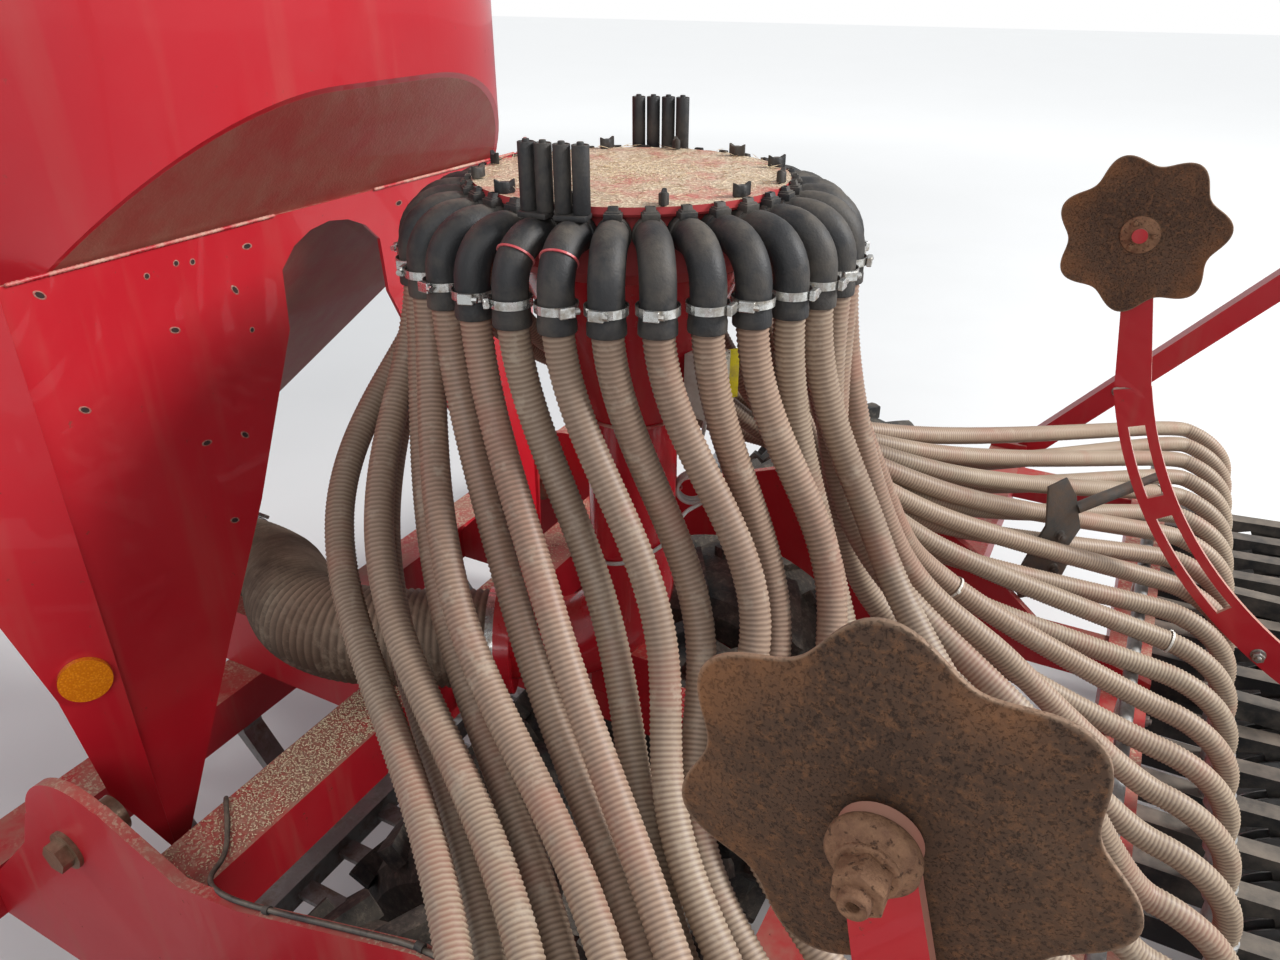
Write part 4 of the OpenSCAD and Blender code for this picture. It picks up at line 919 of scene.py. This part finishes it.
hole = lathe([(0, 0.0002), (0.004, 0.0002), (0.004, -0.0004), (0, -0.0004)], 20)
chipped = patchy(
    "chipped_rim", (240, 4, 0.7, 0.4, 0.6), (0.33, 0.06, 0.05), (0.3, 0.2, 0.15), rough=0.7,
    bump=(0.0005, 0.6, 400.0, 2.0))
# Painted shade: a near-black disc stands for the shadowed inside of each hole.
inside = patchy("slot_dark", (120,), (0.012, 0.006, 0.006), (0.04, 0.015, 0.012), rough=0.9)
fit(repeat("leg_slot_rims", rim, slots), chipped, "red_paint")
fit(repeat("leg_slots", hole, slots), inside, "red_paint")

# Weld beads: rippled fillets where the legs meet the tank and where the cone meets the riser, with the paint
# broken along them so that pale primer shows.
weld_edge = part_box("rear_legs")[1].z
seams = [np.array([(leg_face + 0.002, side * y, weld_edge + 0.001) for y in np.linspace(0.13, 0.62, 30)])
         for side in (-1, 1)]
turns = np.linspace(0, 2 * pi, 60)
seams.append(np.stack([tower_x + 0.0815 * np.cos(turns), 0.0815 * np.sin(turns), np.full(60, 1.498)], axis=1))
bead_finish = patchy(
    "weld_bead", (18, 5, 0.7, 0.42, 0.62), (0.42, 0.014, 0.022), (0.56, 0.36, 0.27), rough=0.42, rougher=0.35)
fit(ribbed_pipes("weld_beads", seams, 0.007, 0.0026, 0.0034, 8), bead_finish, "red_paint")

# Bolts of the frame, legs, fan, tank, wheels and marker arms: zinc-plated hexagons with washers, 13 to 24 mm
# across, browned by weather, each on the CAD face that its line meets.
bolt_zinc = patchy(
    "bolt_zinc", (70, 5, 0.7, 0.42, 0.66), (0.33, 0.32, 0.3), (0.17, 0.085, 0.05), rough=0.38, rougher=0.4,
    metal=0.75, duller=0.6, bump=(0.0004, 0.6))
left_right = ((-1, "left"), (1, "right"))


def outward(node, spot, way, reach=0.6):
    """Where a line that comes in against a direction meets a CAD node, and the normal there, or nothing."""
    way = Vector(way).normalized()
    hit, place, normal, _ = frame["nodes"][node].ray_cast(Vector(spot) + way * reach, -way)
    return (place, normal) if hit and normal.dot(way) > 0.5 else None


def bolts_on(name, body, node, across, spots, end=0.25):
    """Bolts wherever the lines through these spots meet the node, each turned its own way."""
    places = []
    for k, (spot, way) in enumerate(spots):
        met = outward(node, spot, way)
        if met:
            places.append(aim(met[0] - Vector(way).normalized() * 0.0005, met[1], k * 1.3))
    fit(repeat(name, hex_bolt(across, 0.6, end), places), bolt_zinc, "galvanised", body=body)


for side, name in left_right:
    both = [(0, -side, 0), (0, side, 0)]
    bolts_on("tram_bolts_" + name, "tram_marker_" + name, "tram_arm_" + name, 0.024,
             [((2.62, side * 0.88, 0.778), way) for way in both])
    bolts_on("side_bolts_" + name, "side_marker_" + name, "side_arm_tube_" + name, 0.024,
             [((2.2 + 0.55 * k, side * 2.09, 0.93 + 0.62 * k), way) for k in (0, 1) for way in both])
bolts_on("rear_frame_bolts", "frame", "rear_frame", 0.024,
         [((2.4, y, 0.6), (1, 0, 0)) for y in np.arange(-1.75, 1.8, 0.5)])
bolts_on("fan_bolts", "frame", "fan_housing", 0.013,
         [((-1.7 + 0.265 * cos(a), 0, 1.06 + 0.265 * sin(a)), (0, -1, 0))
          for a in np.arange(0, 6.2, pi / 4)])
bolts_on("leg_foot_bolts", "frame", "front_legs", 0.024,
         [((-1.25, side * y, 0.74), (-1, 0, 0)) for side in (-1, 1) for y in (0.6, 0.67)])
bolts_on("tank_bolts", "frame", "hopper_body", 0.013,
         [((-0.25, y, 2.58), (x, 0, 0)) for x in (-1, 1) for y in (-0.4, 0, 0.4)], 0.1)
for side, name in left_right:
    hub = joint_spots["packer_" + name + "_spin"]
    bolts_on("wheel_bolts_" + name, "packer_" + name, "rims_" + name, 0.019,
             [((hub[0] + 0.075 * cos(a), side * (0.25 + 0.5 * k), hub[2] + 0.075 * sin(a)), (0, way, 0))
              for k in range(4) for way in (-1, 1) for a in np.arange(0, 6.2, pi / 3)])

# Cables: a black one clipped along the left side arm to the rear, a pale one down the tower with a small spare
# coil, both of even thickness, and the pale box and blank yellow tag that they start from.
def cable(name, points, radius, finish, slot="black_rubber"):
    """A smooth round cable through these points, its ends closed."""
    return fit(ribbed_pipes(name, [rounded(points)], radius * 3, radius, radius, 10), finish, slot)


cable_black, shader, place = new_finish("cable_black", rough=0.5)
film = place.facing_up(0.0, 0.9) * place.cloud(20, 4, 0.7, 0.3, 0.6)
feed(shader, "Base Color", film.over((0.016, 0.016, 0.017), (0.17, 0.14, 0.105)))
cable_grey = patchy("cable_grey", (25, 4, 0.7, 0.4, 0.7), (0.56, 0.56, 0.53), (0.36, 0.31, 0.25))

arm_y = -0.78
arm_top = [(x, arm_y, outward("side_arm_left", (x, arm_y, 1.0), (0, 0, 1))[0].z + 0.0045)
           for x in np.arange(1.16, 2.36, 0.1)]
arm_route = [(0.934, -0.585, 0.78), (0.925, -0.59, 0.84), (0.94, -0.6, 0.868), (0.99, -0.64, 0.865),
             (1.045, -0.69, 0.866), (1.08, -0.755, 0.895)] + arm_top + [(2.4, -0.775, 0.7), (2.42, -0.76, 0.64)]
cable("arm_cable", arm_route, 0.0045, cable_black)
clip_spots = [aim(spot, Vector(after) - Vector(spot)) for spot, after in zip(arm_top[1::3], arm_top[2::3])]
fit(repeat("arm_cable_clips", band(0.0047, 0.0068, 0.006, 16), clip_spots), black_rubber, "black_plastic")


def small_box(name, size, edge, place, finish, slot):
    """A moulded box with a stepped lid and four screws, its lid facing its own +z."""
    box = terraced(settle(cube(size)), "z", (edge * 0.4, (0, 0, -edge * 0.4)), (edge * 0.3, (0, 0, edge * 0.9)))
    soften(box, edge * 0.25, 2)
    inset_x, inset_y, top = size[0] / 2 - edge * 1.6, size[1] / 2 - edge * 1.6, size[2] / 2 + edge * 0.45
    screw = lathe([(0, 0.0008), (0.001, 0.0008), (0.0012, 0.0016), (0.0034, 0.0012), (0.0036, -0.001),
                   (0, -0.001)], 12)
    screws = repeat("screws", screw, [shift((i * inset_x, j * inset_y, top)) for i in (-1, 1) for j in (-1, 1)])
    return fit(repeat(name, join(name, box, screws), [place]), finish, slot)


pale_box = patchy(
    "pale_box", (18, 5, 0.7, 0.4, 0.75), (0.64, 0.61, 0.53), (0.42, 0.35, 0.27), rough=0.55,
    bump=(0.0003, 0.5, 260.0))
box_turn = radians(-12)
box_spot = Vector((tower_x, 0, 1.59)) + Vector((cos(box_turn), sin(box_turn), 0)) * 0.158
facing = shift(box_spot) @ spun(box_turn) @ spun(pi / 2, "Y")
small_box("sensor_box", (0.105, 0.062, 0.046), 0.006, facing, pale_box, "head_plastic")
small_box("arm_cable_box", (0.05, 0.07, 0.03), 0.005, shift((0.923, -0.585, 0.775)) @ spun(-pi / 2, "Y"),
          black_rubber, "black_plastic")
tag = terraced(cube((0.086, 0.034, 0.0012)), "z", (0.002, None), both=True)
soften(tag, 0.0004, 2)
tag_yellow = patchy(
    "tag_yellow", (30, 4, 0.7, 0.45, 0.75), (0.86, 0.72, 0.02), (0.48, 0.36, 0.09), rough=0.45)
fit(repeat("blank_tag", tag, [facing @ shift((-0.004, 0.046, 0.012)) @ spun(0.5, "X")]), tag_yellow, "orange_plastic")


def on_tower(degrees, reach, z):
    turn = radians(degrees)
    return (tower_x + reach * cos(turn), reach * sin(turn), z)


coil_turn, coil_radius = 28, 0.03
coil_centre = Vector(on_tower(coil_turn, 0.11, 1.342))
side_way = Vector((cos(radians(coil_turn)), sin(radians(coil_turn)), 0))
depth_way = Vector((-side_way.y, side_way.x, 0))
tower_route = [
    tuple(box_spot - Vector((0, 0, 0.052))), on_tower(-8, 0.15, 1.5), on_tower(10, 0.118, 1.43),
    on_tower(coil_turn, 0.106, 1.372)]
for k in range(46):
    turn = pi / 2 - k * 2 * pi / 13
    ring = side_way * cos(turn) + Vector((0, 0, sin(turn)))
    tower_route.append(tuple(coil_centre + ring * coil_radius - depth_way * (0.0007 * k - 0.016)))
tower_route.append(on_tower(14, 0.094, 1.3))
tower_route += [
    on_tower(a, 0.0852, 1.275 - 0.055 * sin(radians((30 - a) * 0.62)) ** 2) for a in range(0, -230, -15)]
tower_route += [on_tower(-236, 0.088, 1.2), on_tower(-238, 0.086, 1.1), on_tower(-238, 0.084, 1.02)]
cable("tower_cable", tower_route, 0.0038, cable_grey)
tie_spots = [aim(coil_centre + side_way * x, (0, 0, 1)) for x in (-coil_radius, coil_radius)]
fit(repeat("coil_ties", band(0.0095, 0.0112, 0.002, 16), tie_spots), tie_red, "orange_plastic")

# Ties of the hoses: narrow white nylon bands with their locking heads, two on the hoses that the near marker
# hides and four on hoses near the hose rest.
lock = soften(cube((0.0055, 0.0075, 0.0065), (0.0262, 0, 0)), 0.0008, 2)
nylon = patchy("nylon_tie", (60,), (0.74, 0.72, 0.66), (0.52, 0.47, 0.39), rough=0.35)
bands = []
for row, share in ((19, 0.53), (18, 0.55), (12, 0.86), (5, 0.86), (21, 0.86), (27, 0.86)):
    route = even_steps(hose_route(row), 0.01)
    k = int(share * len(route))
    bands.append(aim(route[k], route[k + 1] - route[k - 1], 1.9 * row))
fit(repeat("hose_ties", join("band", band(0.0234, 0.0248, 0.0024, 24), lock), bands), nylon, "black_plastic")

# Hose lever by the right side arm: a weathered plate 8 mm thick with a toothed foot, three bolts and a round
# rod, which stands on the arm's top edge between two hoses.
lever_foot = Vector((2.085, 0.788, 0.83))
lever_way = Vector((0.823, 0.568, 0)).normalized()
lever_side = Vector((-lever_way.y, lever_way.x, 0))
outline = [(0.012, -0.012), (0.06, -0.004), (0.105, 0.03), (0.118, 0.08), (0.108, 0.13), (0.128, 0.18),
           (0.098, 0.27), (0.066, 0.318), (0.024, 0.296), (0.04, 0.19), (0.006, 0.1), (-0.012, 0.04)]


def on_lever(u, z, out=0.0):
    """A point on the plate: u along its foot, z up and out from its middle."""
    return lever_foot + lever_way * u + Vector((0, 0, z)) - lever_side * out


plate = new_piece("plate", [on_lever(u, z, 0.004) for u, z in outline], [tuple(range(len(outline)))])
only(plate, "z", least=-10.0)
bpy.ops.mesh.extrude_region_move(TRANSFORM_OT_translate={"value": lever_side * 0.008})
bpy.ops.mesh.select_all(action="SELECT")
bpy.ops.mesh.normals_make_consistent(inside=False)
soften(plate, 0.0015, 2, 60)
rod = lathe([(0, 0), (0.014, 0), (0.014, 0.15), (0.01, 0.155), (0.01, 0.2), (0.008, 0.204), (0, 0.204)], 20)
rod.data.transform(aim(on_lever(0.108, 0.235), lever_way * 0.9 + Vector((0, 0, 0.36))))
parts = [plate, rod]
for u, z in ((0.035, 0.02), (0.08, 0.072), (0.078, 0.165)):
    bolt = hex_bolt(0.019)
    bolt.data.transform(aim(on_lever(u, z, 0.0038), -lever_side, 3 * u))
    parts.append(bolt)
lever_zinc = patchy(
    "lever_zinc", (14, 6, 0.75, 0.4, 0.66), (0.075, 0.07, 0.064), (0.15, 0.1, 0.07), rough=0.5, rougher=0.3,
    metal=0.35, bump=(0.0007, 0.6, 90.0, 5.0, 0.7, 0.4, 0.65))
fit(join("hose_lever", *parts), lever_zinc, "galvanised")

# Small fittings away from the photograph: lid handle 64 mm high, jack crank and the lenses of the rear lamps,
# one red and one amber on each board.
lid_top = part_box("hopper_lid")[1].z
handle = [(x, -0.64, lid_top + z) for x, z in
          ((-0.36, -0.012), (-0.36, 0.03), (-0.33, 0.042), (-0.17, 0.042), (-0.14, 0.03), (-0.14, -0.012))]
grip = ribbed_pipes("lid_handle", [rounded(handle)], 0.012, 0.0065, 0.0065, 12)
fit(grip, galvanised, "galvanised", body="lid")
jack_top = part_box("jack_tube")[1].z
crank = [(x, y, jack_top + z) for x, y, z in
         ((-2.8, 0.115, -0.01), (-2.8, 0.115, 0.035), (-2.79, 0.12, 0.045), (-2.72, 0.15, 0.045),
          (-2.66, 0.175, 0.045), (-2.65, 0.18, 0.06), (-2.65, 0.18, 0.13))]
cable("jack_crank", crank, 0.008, galvanised, "galvanised")
board_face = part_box("lamp_boards")[1].x
lens_red, shader, place = new_finish("lens_red", rough=0.15, coat=0.7)
ridges = place.add("TexWave", {"bands_direction": "Y"}, {"Vector": place, "Scale": 60.0}, out="Fac")
wear(shader, ridges.over((0.38, 0.006, 0.008), (0.56, 0.02, 0.02)), bump=(ridges, 0.001, 0.5))
for name, y, finish, slot in (("tail", 1.63, lens_red, "lamp_plastic"), ("turn", 1.52, amber, "orange_plastic")):
    lens = settle(cube((0.026, 0.095, 0.095), (board_face + 0.012, 0, 0.585)))
    terraced(lens, "x", (0.008, (0.006, 0, 0)), (0.006, None))
    soften(lens, 0.004, 3)
    fit(repeat(name + "_lenses", lens, [shift((0, side * y, 0)) for side in (-1, 1)]), finish, slot)
